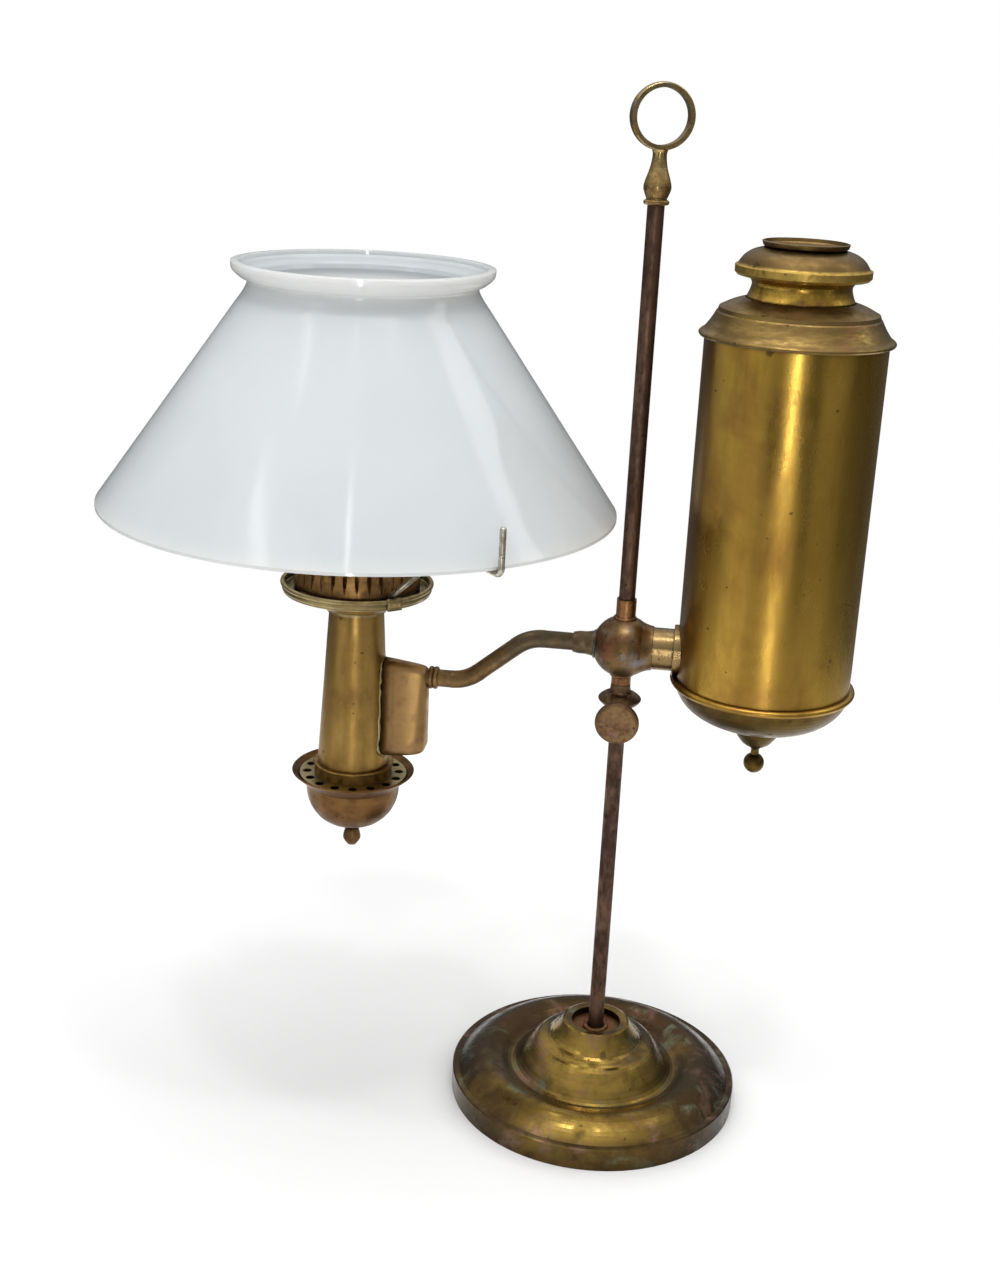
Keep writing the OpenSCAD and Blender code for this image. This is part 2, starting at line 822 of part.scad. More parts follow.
module arm_socket() {
    inner = arm_d / 2 + seat;
    color(copper_brass)
        difference() {
            mirror([1, 0, 0])
                along_pipe()
                    turned(concat(
                        [[inner, 0], [arm_socket_d / 2, 0]],
                        smooth([
                            [arm_socket_d / 2, hub_r],
                            [arm_socket_d / 2 - edge, (2 * hub_r + arm_socket_x) / 3],
                            [inner + 2 * edge, (hub_r + 2 * arm_socket_x) / 3],
                            [inner + edge, arm_socket_x],
                        ]),
                        [[inner, arm_socket_x]],
                    ));
            translate([0, 0, hub_z]) sphere(hub_r + seat);
        }
}

module feed_pipe() {
    start = hub_r - hub_wall / 2;
    color(copper_brass)
        translate([-start, 0, hub_z])
            mirror([1, 0, 0])
                difference() {
                    bent(feed_pipe_steps(start, 0), arm_d);
                    translate([-edge, 0, 0]) bent(feed_pipe_steps(start, edge), arm_d - 2 * arm_wall);
                }
}

// Straights and turns of the feed pipe, with both ends run on by an amount
function feed_pipe_steps(start, run_on) =
    let (sloped = (arm_drop - 2 * arm_bend_r * (1 - cos(arm_slope))) / sin(arm_slope))
    let (bends = 2 * arm_bend_r * sin(arm_slope) + sloped * cos(arm_slope))
    [
        [-box_x - start - arm_level - bends + run_on, -arm_slope, arm_bend_r],
        [sloped, arm_slope, arm_bend_r],
        [arm_level + box_wall + run_on, 0, 0],
    ];

module feed_pipe_beads() {
    inner = arm_d / 2 + seat;
    bulge = arm_bead_d / 2 - inner - edge;
    color(copper_brass)
        translate([box_x + seat, 0, arm_low_z])
            rotate([0, 90, 0])
                for (i = [0, 1])
                    translate([0, 0, i * (arm_bead_w + seat)])
                        turned(concat(
                            [[inner, arm_bead_w], [inner, 0]],
                            oval([inner + edge, arm_bead_w / 2], bulge, arm_bead_w / 2, -90, 90, 8),
                        ));
}

// Tank

module tank_casing() {
    color(brass)
        difference() {
            at_tank() tube(tank_r, tank_inner_r, tank_low, tank_high);
            along_pipe() cylinder(r = pipe_bore_r, h = tank_x);
        }
}

module tank_bead() {
    inner = tank_r + seat;
    bulge = tank_bead_d / 2 - inner - edge;
    color(brass)
        at_tank()
            turned(concat(
                [[inner, tank_low + tank_bead_h / 2], [inner, tank_low - tank_bead_h / 2]],
                oval([inner + edge, tank_low], bulge, tank_bead_h / 2, -90, 90, 10),
            ));
}

dome_path = concat(
    [[0, dome_low]],
    oval([boss_r, tank_low - seat], tank_r - boss_r, tank_dome_h - seat, -90, 0, 14),
);

module tank_dome() {
    outline = concat(
        dome_path,
        [[tank_inner_r, tank_low - seat]],
        backwards(oval(
            [boss_r, tank_low - seat], tank_inner_r - boss_r, tank_dome_h - seat - tank_wall, -90, 0, 14
        )),
        [[0, dome_low + tank_wall]],
    );
    color(brass) at_tank() turned(outline);
}

module tank_boss() {
    low_r = tank_boss_low_d / 2;
    top = dome_low - seat;
    color(brass)
        at_tank()
            turned(concat(
                [[0, boss_low]],
                smooth([
                    [low_r, boss_low],
                    [(2 * low_r + boss_r) / 3, boss_low + tank_boss_h / 6],
                    [(low_r + 4 * boss_r) / 5 - edge, boss_low + tank_boss_h / 2],
                    [boss_r - edge, top - 4 * edge],
                ]),
                [[boss_r, top - 3 * edge], [boss_r, top], [0, top]],
            ));
}

module tank_finial() {
    ball_r = tank_ball_d / 2;
    neck = tank_ball_d / 5;
    join = acos(neck / ball_r);
    top = boss_low - seat;
    centre = top - tank_ball_neck - ball_r + edge;
    color(brass)
        at_tank()
            turned(concat(
                arc([0, centre], ball_r, -90, join, 12),
                smooth([
                    [neck, centre + ball_r + edge],
                    [neck, top - tank_ball_neck / 2],
                    [neck + edge, top - 2 * edge],
                    [min(2 * neck, tank_boss_low_d / 2), top],
                ]),
                [[0, top]],
            ));
}

module valve_peg() {
    floor = dome_low + tank_wall + seat;
    color(brass)
        at_tank()
            turned([
                [0, floor],
                [peg_d, floor],
                [peg_d, floor + peg_d / 2],
                [peg_d / 2, floor + peg_d / 2],
                [peg_d / 2, peg_top],
                [0, peg_top],
            ]);
}

// Oil font

module font_bottle() {
    path = [
        [mouth_r, mouth_low],
        [mouth_r, mouth_low + mouth_l],
        [bottle_r, mouth_low + mouth_l + bottle_cone_h],
        [bottle_r, bottle_top],
        [lip_r - edge - font_wall, bottle_top],
    ];
    color(brass) at_tank() turned(sheet(path, font_wall));
}

module font_shoulder() {
    step_r = shoulder_step_d / 2;
    step_z = tank_high + shoulder_step_up;
    sweep = lip_r - step_r;
    path = concat(
        smooth([
            [lip_r - edge, bottle_top],
            [lip_r, bottle_top + lip_h / 3],
            [lip_r - edge, bottle_top + lip_h * 2 / 3],
            [lip_r - sweep / 3, bottle_top + lip_h + edge],
            [lip_r - sweep * 2 / 3, (bottle_top + lip_h + step_z) / 2],
            [step_r + edge, step_z - edge],
        ]),
        [[step_r, step_z], [step_r - edge, step_z + shoulder_step_h]],
        smooth([
            [step_r - 2 * edge, step_z + shoulder_step_h + edge / 2],
            [(step_r + neck_r) / 2, (step_z + shoulder_step_h + 2 * shoulder_top) / 3 - edge / 2],
            [neck_r + edge, shoulder_top],
        ]),
    );
    color(brown_brass) at_tank() turned(sheet(path, font_wall));
}

module font_neck() {
    top = neck_low + neck_h;
    path = concat(
        [[neck_r, neck_low]],
        smooth([
            [neck_r, neck_low + edge],
            [(neck_r + neck_waist_d) / 3, neck_low + neck_h / 3],
            [neck_waist_d / 2, top - neck_h / 3],
            [neck_r, top - edge],
        ]),
        [[neck_r, top]],
    );
    color(brass) at_tank() turned(sheet(path, font_wall));
}

module font_grip() {
    top = grip_low + grip_h;
    path = concat(
        [[neck_r - 2 * edge, grip_low], [grip_r - 2 * edge, grip_low]],
        [[grip_r, grip_low + 2 * edge], [grip_r, grip_low + grip_band_h - edge]],
        smooth([
            [grip_r - 2 * edge, grip_low + grip_band_h],
            [(2 * grip_r + dish_r) / 3, (grip_low + grip_band_h + top) / 2 - edge / 2],
            [(grip_r + 2 * dish_r) / 3, (grip_low + grip_band_h + 4 * top) / 5],
            [dish_r - 2 * edge, top],
        ]),
    );
    color(brown_brass) at_tank() turned(sheet(path, font_wall));
}

module font_dish() {
    path = [
        [0, dish_low],
        [dish_r - 3 * edge, dish_low],
        [dish_r - edge, dish_low + dish_h / 3],
        [dish_r, dish_low + dish_h],
    ];
    color(brown_brass) at_tank() turned(sheet(path, font_wall));
}

module valve_seat() {
    color(pale_brass)
        at_tank()
            tube(mouth_r - font_wall - seat, valve_bore_d / 2, mouth_low, seat_top);
}

module valve_stem() {
    head_low = washer_low + washer_t + seat;
    color(pale_brass)
        at_tank()
            turned([
                [0, stem_low],
                [stem_r, stem_low],
                [stem_r, head_low],
                [2 * stem_r, head_low],
                [2 * stem_r, head_low + stem_r],
                [0, head_low + stem_r],
            ]);
}

module valve_washer() {
    color(cork) at_tank() tube(washer_d / 2, stem_r + seat, washer_low, washer_low + washer_t);
}

// Burner

// Outside of the burner tube, grown by an amount
function burner_outside(grow) = [
    [tube_foot_r + grow, tube_low],
    [tube_foot_r + grow, tube_cone_low],
    [tube_top_r + grow, tube_cone_high],
    [tube_top_r + grow, tube_high],
];

module burner_solid(grow) {
    at_burner() turned(concat([[0, tube_low]], burner_outside(grow), [[0, tube_high]]));
}

// A block with the feed box's plan, shrunk by an amount
module box_block(shrink) {
    reach = box_reach - shrink;
    half = box_t / 2 - shrink;
    r = box_round - shrink;
    at_burner()
        translate([0, 0, box_low + shrink])
            linear_extrude(box_h - 2 * shrink) {
                translate([0, -half]) square([reach - r, 2 * half]);
                translate([0, r - half]) square([reach, 2 * (half - r)]);
                for (side = [-1, 1])
                    translate([reach - r, side * (half - r)]) circle(r);
            }
}

module feed_box() {
    color(copper_brass)
        difference() {
            box_block(0);
            box_block(box_wall);
            burner_solid(seat);
            translate([box_x, 0, arm_low_z])
                rotate([0, 90, 0])
                    cylinder(d = arm_d + 2 * seat, h = 4 * box_wall, center = true);
        }
}

// Narrow flange where the feed box is soldered to the burner tube
module feed_box_seam() {
    half = box_t / 2 + box_seam;
    color(copper_brass)
        difference() {
            intersection() {
                burner_solid(box_wall);
                at_burner()
                    translate([0, -half, box_low - box_seam])
                        cube([box_reach, 2 * half, box_h + 2 * box_seam]);
            }
            burner_solid(seat);
            at_burner()
                translate([0, -box_t / 2 - seat, box_low - seat])
                    cube([box_reach, box_t + 2 * seat, box_h + 2 * seat]);
        }
}

module burner_tube() {
    window = box_t / 2 - 2 * box_wall;
    color(brass)
        difference() {
            at_burner() turned(sheet(burner_outside(0), tube_wall));
            at_burner()
                translate([0, -window, box_low + 2 * box_wall])
                    cube([box_reach, 2 * window, box_h - 4 * box_wall]);
        }
}

module draft_tube() {
    color(brass) at_burner() tube(draft_r, draft_r - draft_wall, tube_low - draft_below, tube_high);
}

module burner_floor() {
    color(brass)
        at_burner()
            tube(tube_foot_r - tube_wall - seat, draft_r + seat, tube_low, tube_low + floor_t);
}

// Shade, its ring and its arms

module shade_ring() {
    collar_r = tube_top_r + seat + shade_ring_wall;
    bottom_r = gutter_r + gutter_w / 2;
    low = gutter_z - shade_ring_wall;
    path = concat(
        [[collar_r, ring_seat - ring_collar_l], [collar_r, ring_seat]],
        [[gallery_sleeve_r + 2 * shade_ring_wall, ring_seat]],
        [[gutter_r - gutter_w / 2, low], [bottom_r, low]],
        smooth([
            [ring_rim_r - edge, low + edge],
            [ring_rim_r, low + wire_d / 2],
            [ring_rim_r - edge / 2, ring_rim_z],
        ]),
    );
    color(pale_brass) at_burner() turned(sheet(path, shade_ring_wall));
}

module shade_arm(bearing) {
    steps = [
        [wire_leg, wire_slope - 90, wire_bend_r],
        [norm([wire_out, wire_rise]), -wire_slope, wire_bend_r],
        [prong_reach, 90, wire_bend_r],
        [prong_h, 0, 0],
    ];
    color(wire_grey)
        at_burner()
            rotate([0, 0, bearing])
                translate([gutter_r, 0, wire_foot_z])
                    rotate([0, -90, 0])
                        bent(steps, wire_d);
}

module shade() {
    neck_r = shade_neck_d / 2;
    lip = shade_lip_d / 2;
    neck_low_z = shade_top - shade_neck_h;
    lean = unit([neck_r - shade_r, neck_low_z - shade_z - shade_rim_h]);
    path = concat(
        [[shade_r, shade_z], [shade_r, shade_z + shade_rim_h]],
        smooth([
            [neck_r, neck_low_z] - lean * shade_neck_h,
            [neck_r, neck_low_z] - lean * shade_neck_h / 3,
            [neck_r + edge / 2, neck_low_z + shade_neck_h / 6],
            [(neck_r + lip) / 2, neck_low_z + shade_neck_h * 3 / 8],
            [lip - edge, neck_low_z + shade_neck_h * 2 / 3],
            [lip, shade_top],
        ]),
    );
    color(opal) at_burner() turned(sheet(path, shade_wall));
}

// Gallery and wick

module gallery_sleeve() {
    color(copper_brass)
        at_burner()
            tube(gallery_sleeve_r, gallery_bore_r, gallery_low, gallery_low + gallery_sleeve_l);
}

module gallery_plate() {
    hole_circle = (gallery_sleeve_r + crown_inner_r) / 2;
    color(copper_brass)
        at_burner()
            difference() {
                tube(
                    crown_inner_r - seat, gallery_sleeve_r + seat,
                    gallery_plate_z, gallery_plate_z + crown_wall
                );
                for (i = [0 : plate_holes - 1])
                    rotate([0, 0, i * 360 / plate_holes])
                        translate([hole_circle, 0, gallery_plate_z - edge])
                            cylinder(d = plate_hole_d, h = crown_wall + 2 * edge, $fn = 24);
            }
}

// Leaf-shaped outline of one slot, standing on its point
function leaf(width, height, n = 6) = [
    for (i = [-n : n - 1])
        let (t = 1 - abs(i) / n)
        let (bulge = sin(180 * t) * width / 2)
        [i < 0 ? -bulge : bulge, t * height]
];

module gallery_crown() {
    foot = gallery_plate_z - crown_wall;
    path = [[crown_r, foot], [crown_r, foot + 2 * crown_wall], [crown_top_d / 2, foot + crown_h]];
    color(copper_brass)
        at_burner()
            difference() {
                turned(sheet(path, crown_wall));
                for (i = [0 : slots - 1])
                    rotate([0, 0, i * 360 / slots])
                        translate([crown_r - crown_h / 2, 0, foot + slot_up])
                            rotate([90, 0, 90])
                                linear_extrude(crown_h)
                                    polygon(leaf(slot_w, slot_h));
            }
}

module wick() {
    color(cotton) at_burner() tube(wick_out_r, wick_in_r, wick_low, wick_top);
}

module wick_carrier() {
    color(brass) at_burner() tube(wick_out_r, wick_in_r, wick_low - carrier_h, wick_low - seat);
}

// Drip cup

module cup_band() {
    top = air_plate_z + band_h;
    color(brass)
        at_burner()
            turned(concat(
                [[band_bore_r, air_plate_z], [band_r, air_plate_z], [band_r, top - 2 * band_bead]],
                oval([band_r, top - band_bead], band_bead, band_bead, -90, 90, 6),
                [[band_bore_r, top]],
            ));
}

module air_plate() {
    hole_circle = (band_r + air_plate_r) / 2;
    color(pale_brass)
        at_burner()
            difference() {
                tube(air_plate_r, band_r + seat, air_plate_z, air_plate_z + air_plate_t);
                for (i = [0 : air_holes - 1])
                    rotate([0, 0, (i + 0.5) * 360 / air_holes])
                        translate([hole_circle, 0, air_plate_z - edge])
                            cylinder(d = air_hole_d, h = air_plate_t + 2 * edge, $fn = 24);
            }
}

module drip_bowl() {
    waist_z = cup_lip_z - cup_flare_h;
    flat_r = cup_knob_d / 2;
    path = concat(
        [[0, cup_low]],
        oval([flat_r, waist_z], cup_waist_r - flat_r, waist_z - cup_low, -90, 0, 14),
        smooth([
            [cup_waist_r + edge / 2, waist_z + cup_flare_h / 4],
            [(2 * cup_waist_r + cup_lip_r) / 3, waist_z + cup_flare_h / 2],
            [(cup_waist_r + 2 * cup_lip_r) / 3, waist_z + cup_flare_h * 3 / 4],
            [cup_lip_r, cup_lip_z],
        ]),
    );
    color(copper_brass) at_burner() turned(sheet(path, cup_wall));
}

module cup_knob() {
    knob_r = cup_knob_d / 2;
    knob_neck_r = knob_r / 2;
    low = cup_low - cup_knob_l;
    top = cup_low - seat;
    color(brass)
        at_burner()
            turned(concat(
                [[0, low]],
                smooth([
                    [knob_r / 2, low],
                    [knob_r - edge, low + knob_r / 2],
                    [knob_r, low + knob_r],
                    [knob_r - 2 * edge, low + 2 * knob_r],
                    [knob_neck_r, (low + 2 * top) / 3],
                    [knob_r - edge, top],
                ]),
                [[0, top]],
            ));
}

base_shell();
base_weight();
base_plate();
rod_nut();
recess_disc();
rod();
ring_handle();
clamp_collar();
thumbscrew_stem();
thumbscrew_head();
hub();
hub_sleeve();
tank_pipe();
tank_ring();
arm_socket();
feed_pipe();
feed_pipe_beads();
tank_casing();
tank_bead();
tank_dome();
tank_boss();
tank_finial();
valve_peg();
font_bottle();
font_shoulder();
font_neck();
font_grip();
font_dish();
valve_seat();
valve_stem();
valve_washer();
feed_box();
feed_box_seam();
burner_tube();
draft_tube();
burner_floor();
shade_ring();
shade_arm(front_arm_turn);  // shade_arm_1
shade_arm(rod_side_arm_turn);  // shade_arm_2
shade_arm(outer_arm_turn);  // shade_arm_3
shade();
gallery_sleeve();
gallery_plate();
gallery_crown();
wick();
wick_carrier();
cup_band();
air_plate();
drip_bowl();
cup_knob();
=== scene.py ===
import math

import bmesh
import bpy
from mathutils import Matrix, Vector, noise


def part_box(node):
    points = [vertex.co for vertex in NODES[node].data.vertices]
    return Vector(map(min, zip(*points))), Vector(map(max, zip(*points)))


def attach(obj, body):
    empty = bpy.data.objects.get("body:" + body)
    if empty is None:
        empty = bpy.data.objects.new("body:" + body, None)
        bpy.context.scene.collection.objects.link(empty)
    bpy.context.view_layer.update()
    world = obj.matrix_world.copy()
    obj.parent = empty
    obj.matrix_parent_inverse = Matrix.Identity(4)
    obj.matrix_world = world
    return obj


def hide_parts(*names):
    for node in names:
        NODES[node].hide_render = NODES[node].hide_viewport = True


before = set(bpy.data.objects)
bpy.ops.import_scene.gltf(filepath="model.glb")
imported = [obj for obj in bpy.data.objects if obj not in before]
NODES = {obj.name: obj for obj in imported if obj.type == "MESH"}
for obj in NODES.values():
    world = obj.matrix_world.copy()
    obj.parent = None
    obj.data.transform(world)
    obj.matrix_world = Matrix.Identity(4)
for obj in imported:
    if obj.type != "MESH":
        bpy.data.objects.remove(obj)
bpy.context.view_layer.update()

# Camera, solved from the photograph: place in metres, angles in degrees
IMAGE_HEIGHT = 1261
FOCAL_PIXELS = 1699.2
SENSOR = 36
CAMERA_PLACE = Vector((0.02797, -0.80096, 0.52175))
CAMERA_YAW = -6.407
CAMERA_PITCH = 18.314
CAMERA_ROLL = 2.843

# Colours, as linear light
GOLD = (0.60, 0.375, 0.068)
OLIVE = (0.34, 0.205, 0.034)
BROWN = (0.20, 0.112, 0.045)
UMBER = (0.075, 0.043, 0.021)
RED_BROWN = (0.22, 0.085, 0.045)
MAUVE = (0.24, 0.135, 0.10)
PALE = (0.42, 0.335, 0.16)
VERDIGRIS = (0.17, 0.20, 0.12)
SOLDER = (0.20, 0.205, 0.215)
PLUM = (0.080, 0.047, 0.036)
NICKEL = (0.60, 0.57, 0.48)
GRIME_AND_SHADE = (0.018, 0.012, 0.008)
OPAL_DIM = (0.645, 0.68, 0.70)
OPAL = (0.685, 0.715, 0.73)
OPAL_FOOT = (0.82, 0.81, 0.75)
# Painted light and shade on the shade glass: its lip, inside, mouth and brim
OPAL_LIP_PAINTED_LIGHT = (0.92, 0.93, 0.91)
OPAL_INSIDE_PAINTED_LIGHT = (0.93, 0.945, 0.95)
OPAL_MOUTH_PAINTED_SHADE = (0.49, 0.52, 0.54)
OPAL_BRIM_PAINTED_LIGHT = (0.64, 0.67, 0.68)
COTTON_DIM = (0.38, 0.33, 0.24)
COTTON = (0.66, 0.61, 0.50)
CHAR = (0.05, 0.035, 0.025)
LEATHER = (0.16, 0.085, 0.045)
LEATHER_OILY = (0.07, 0.04, 0.025)
PAPER_DIM = (0.95, 0.95, 0.95)
PAPER = (0.97, 0.97, 0.97)
WHITE = (1.0, 1.0, 1.0)


# Sizes from the frame

def spot(node):
    """Middle of a CAD node's box."""
    low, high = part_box(node)
    return (low + high) / 2


def span(node):
    """Size of a CAD node's box."""
    low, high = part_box(node)
    return high - low


BURNER_X = spot("burner_tube").x
TANK_X = spot("tank_casing").x
HUB = Vector((0, 0, spot("tank_pipe").z))
HUB_R = span("hub").y / 2
UP = Vector((0, 0, 1))
RIGHT = Vector((1, 0, 0))


def outline(node, axis_x):
    """Outermost radius of a turned node at each height that its mesh has, lowest first."""
    rings = {}
    for vert in NODES[node].data.vertices:
        height = round(vert.co.z, 5)
        radius = math.hypot(vert.co.x - axis_x, vert.co.y)
        rings[height] = max(radius, rings.get(height, 0))
    return sorted(rings.items())


def radius_at(rings, height):
    """Radius of an outline at a height."""
    for (z0, r0), (z1, r1) in zip(rings, rings[1:]):
        if z0 <= height <= z1:
            return r0 + (r1 - r0) * (height - z0) / (z1 - z0)
    raise ValueError("height is outside the outline")


TUBE_RINGS = outline("burner_tube", BURNER_X)


# Node helpers

def add(tree, kind, **values):
    """Adds a shader node. A value that is a socket is linked, and any other is set."""
    made = tree.nodes.new("ShaderNode" + kind)
    for name, value in values.items():
        put(tree, made, name, value)
    return made


def put(tree, made, name, value):
    """Sets a node's property, or one of its input sockets by name or by i and a number."""
    if name[0] == "i" and name[1:].isdigit():
        socket = made.inputs[int(name[1:])]
    elif hasattr(made, name):
        setattr(made, name, value)
        return
    else:
        socket = made.inputs[name.replace("_", " ")]
    if isinstance(value, bpy.types.NodeSocket):
        tree.links.new(value, socket)
    elif socket.type == "RGBA":
        socket.default_value = (*value, 1)
    else:
        socket.default_value = value


def calc(tree, operation, a, b, c=0.0):
    """Result of a math node."""
    return add(tree, "Math", operation=operation, i0=a, i1=b, i2=c).outputs[0]


def fit(tree, value, low, high, to_low, to_high):
    """Maps a value from one range to another, and stops at its ends."""
    made = add(
        tree, "MapRange", interpolation_type="SMOOTHSTEP",
        Value=value, From_Min=low, From_Max=high, To_Min=to_low, To_Max=to_high,
    )
    return made.outputs[0]


def blend(tree, share, a, b):
    """Colour between a and b."""
    return add(tree, "Mix", data_type="RGBA", i0=share, i6=a, i7=b).outputs[2]


def stretched(tree, coords, scale):
    """Coordinates scaled along each axis."""
    return add(tree, "Mapping", Vector=coords, Scale=scale).outputs[0]


def clouds(tree, coords, size, detail=5, rough=0.6, twist=0.0):
    """Soft noise whose patches are about size metres wide."""
    made = add(
        tree, "TexNoise", Vector=coords, Scale=0.5 / size,
        Detail=detail, Roughness=rough, Distortion=twist,
    )
    return made.outputs[0]


SPECK_RAGGED = 0.6
SPECK_REACH = 0.30


def specks(tree, coords, size, share):
    """One in the middle of small ragged spots, and zero elsewhere."""
    wobble = add(tree, "TexNoise", Vector=coords, Scale=1.5 / size, Detail=3.0).outputs["Color"]
    shift = add(tree, "VectorMath", operation="SCALE", i0=wobble, Scale=SPECK_RAGGED * size)
    moved = add(tree, "VectorMath", operation="ADD", i0=coords, i1=shift.outputs[0])
    cells = add(tree, "TexVoronoi", Vector=moved.outputs[0], Scale=1 / size)
    pick = add(tree, "SeparateColor", i0=cells.outputs["Color"]).outputs[0]
    reach = fit(tree, pick, 1 - share, 1, 0, SPECK_REACH)
    inside = calc(tree, "SUBTRACT", reach, cells.outputs["Distance"])
    return fit(tree, inside, -0.02, 0.12, 0, 1)


def start(name):
    """New material with its shader, and the coordinates that stay with the piece."""
    material = bpy.data.materials.new(name)
    material.use_nodes = True
    tree = material.node_tree
    shader = tree.nodes["Principled BSDF"]
    coords = add(tree, "TexCoord").outputs["Object"]
    return material, tree, shader, coords


def link(tree, shader, **values):
    """Sets or links several sockets of a shader."""
    for name, value in values.items():
        put(tree, shader, name, value)


# Materials, with lengths in metres

RIM_H = 0.012
RIM_FADE = 0.002
GRIP_BAND_H = 0.005
GRIP_FADE = 0.001
FEED_FADE_LEFT = 0.012
FEED_FADE_RIGHT = 0.006
SHADE_EDGE = 0.009
CHAR_H = 0.0035
SMALL_SPECK = 0.0032
LARGE_SPECK = 0.0085
SMALL_SHARE = 0.45
COVER_SPREAD = 0.36
STAIN_STEP = 0.37
METAL_BUMP = 0.0006
GLASS_BUMP = 0.001
COTTON_BUMP = 0.0005
LEATHER_BUMP = 0.0003
LINES_ROUND = {"X": (900, 12, 12), "Z": (12, 12, 900)}
RIB_STRETCH = (700, 700, 40)
THREAD_STRETCH = (60, 60, 1600)
LEATHER_GRAIN = 900.0
FACES_IN = -0.12
FACES_OUT = 0.02


def aged_metal(
    name, polished, tarnished, deep, patch=0.02, cover=0.5, rough=(0.28, 0.5), turned="Z",
    spots=0.12, grime_and_shade=0.8, grime_and_shade_reach=0.007, dents=0.25, stains=(), stretch=(1, 1, 1), scratch=0.10,
    relief=0.35, deepen=None,
):
    """Old metal: polished patches, tarnish, stains, dark specks, turning lines, and near-black grime with
    painted shade in the corners.

    Each stain is a colour, the size of its patches in metres, and how much of the surface it takes.
    deepen says where on the piece the colour goes darkest: painted shade on the base's sides and back and
    on the tank's side towards the rod, deeper tarnish on the feed pipe and the grip.
    """
    material, tree, shader, coords = start(name)
    run = stretched(tree, coords, stretch)
    large = clouds(tree, run, patch, detail=6, rough=0.62, twist=0.6)
    small = clouds(tree, run, patch / 6, rough=0.65)
    lines = clouds(tree, stretched(tree, coords, LINES_ROUND[turned]), 0.5, detail=3, rough=0.5)
    mixed = calc(tree, "ADD", large, calc(tree, "MULTIPLY_ADD", small, SMALL_SHARE, -0.22))
    middle = 0.66 - COVER_SPREAD * cover
    tarnish = fit(tree, mixed, middle - 0.10, middle + 0.14, 0, 1)
    deeper = fit(tree, mixed, middle + 0.10, middle + 0.28, 0, 0.85)
    colour = blend(tree, tarnish, polished, tarnished)
    colour = blend(tree, deeper, colour, deep)
    # deepen darkens the colour towards the deep tone: painted shade on the base and the tank, deeper
    # tarnish on the feed pipe and the grip
    if deepen:
        uneven = calc(tree, "MULTIPLY", deepen(tree, coords), fit(tree, mixed, 0.2, 0.55, 0.65, 1))
        colour = blend(tree, uneven, colour, deep)
    for index, (stain, size, share) in enumerate(stains):
        away = (STAIN_STEP * (index + 1), 0.11, 0.23)
        moved = add(tree, "Mapping", Vector=coords, Location=away).outputs[0]
        cloud = clouds(tree, moved, size, rough=0.62, twist=0.4)
        edge = 0.70 - COVER_SPREAD * share
        colour = blend(tree, fit(tree, cloud, edge - 0.06, edge + 0.10, 0, 0.8), colour, stain)
    colour = blend(tree, fit(tree, lines, 0.35, 0.75, 0, scratch), colour, deep)
    colour = blend(tree, fit(tree, small, 0.52, 0.75, 0, 0.35), colour, deep)
    small_marks = specks(tree, coords, SMALL_SPECK, spots)
    large_marks = specks(tree, coords, LARGE_SPECK, spots / 2)
    marks = calc(tree, "MAXIMUM", small_marks, large_marks)
    colour = blend(tree, calc(tree, "MULTIPLY", marks, 0.75), colour, UMBER)
    # Painted shade: ambient occlusion darkens corners, creases and gaps between parts towards near-black
    # grime
    occlusion_shade = add(tree, "AmbientOcclusion", samples=6, Distance=grime_and_shade_reach).outputs["AO"]
    colour = blend(tree, fit(tree, occlusion_shade, 0.25, 0.85, grime_and_shade, 0), colour, GRIME_AND_SHADE)
    gloss = fit(tree, mixed, middle - 0.12, middle + 0.2, *rough)
    gloss = calc(tree, "ADD", gloss, fit(tree, small, 0.3, 0.7, -0.04, 0.06))
    gloss = calc(tree, "MULTIPLY_ADD", marks, 0.2, gloss)
    height = calc(tree, "MULTIPLY_ADD", small, SMALL_SHARE, calc(tree, "MULTIPLY", lines, scratch))
    height = calc(tree, "MULTIPLY_ADD", large, dents * 6, height)
    bump = add(tree, "Bump", Strength=relief, Distance=METAL_BUMP, Height=height)
    link(tree, shader, Base_Color=colour, Roughness=gloss, Normal=bump.outputs[0], Metallic=1.0)
    return material


def base_shaded_sides(tree, coords):
    """How far a point of the base lies out to its sides or its back, where its colour is darkened as
    painted shade; its rim band is darkened too.
    """
    reach = span("base_shell").x / 2
    place = add(tree, "SeparateXYZ", Vector=coords)
    aside = calc(tree, "ABSOLUTE", place.outputs[0], 0)
    sides = fit(tree, aside, 0.25 * reach, 0.8 * reach, 0, 1)
    back = fit(tree, place.outputs[1], -0.1 * reach, 0.4 * reach, 0, 1)
    rim = fit(tree, place.outputs[2], RIM_H, RIM_H + RIM_FADE, 0.55, 0)
    return calc(tree, "MAXIMUM", rim, calc(tree, "MAXIMUM", sides, back))


def tank_shaded_side(tree, coords):
    """How far a point of the tank lies towards the rod, where its colour is darkened as painted shade."""
    low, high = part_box("tank_casing")
    reach = (high.x - low.x) / 2
    place = add(tree, "SeparateXYZ", Vector=coords).outputs[0]
    return fit(tree, place, low.x, low.x + 0.3 * reach, 1, 0)


def feed_upper_end(tree, coords):
    """One on the end of the feed pipe near the ball, and zero on the end near the burner."""
    low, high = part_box("feed_pipe")
    place = add(tree, "SeparateXYZ", Vector=coords).outputs[0]
    middle = (low.x + high.x) / 2
    return fit(tree, place, middle - FEED_FADE_LEFT, middle + FEED_FADE_RIGHT, 0, 0.7)


def grip_dome(tree, coords):
    """One on the dome of the grip, and zero on the bright band round its foot."""
    band_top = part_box("font_grip")[0].z + GRIP_BAND_H
    height = add(tree, "SeparateXYZ", Vector=coords).outputs[2]
    return fit(tree, height, band_top, band_top + GRIP_FADE, 0, 1)


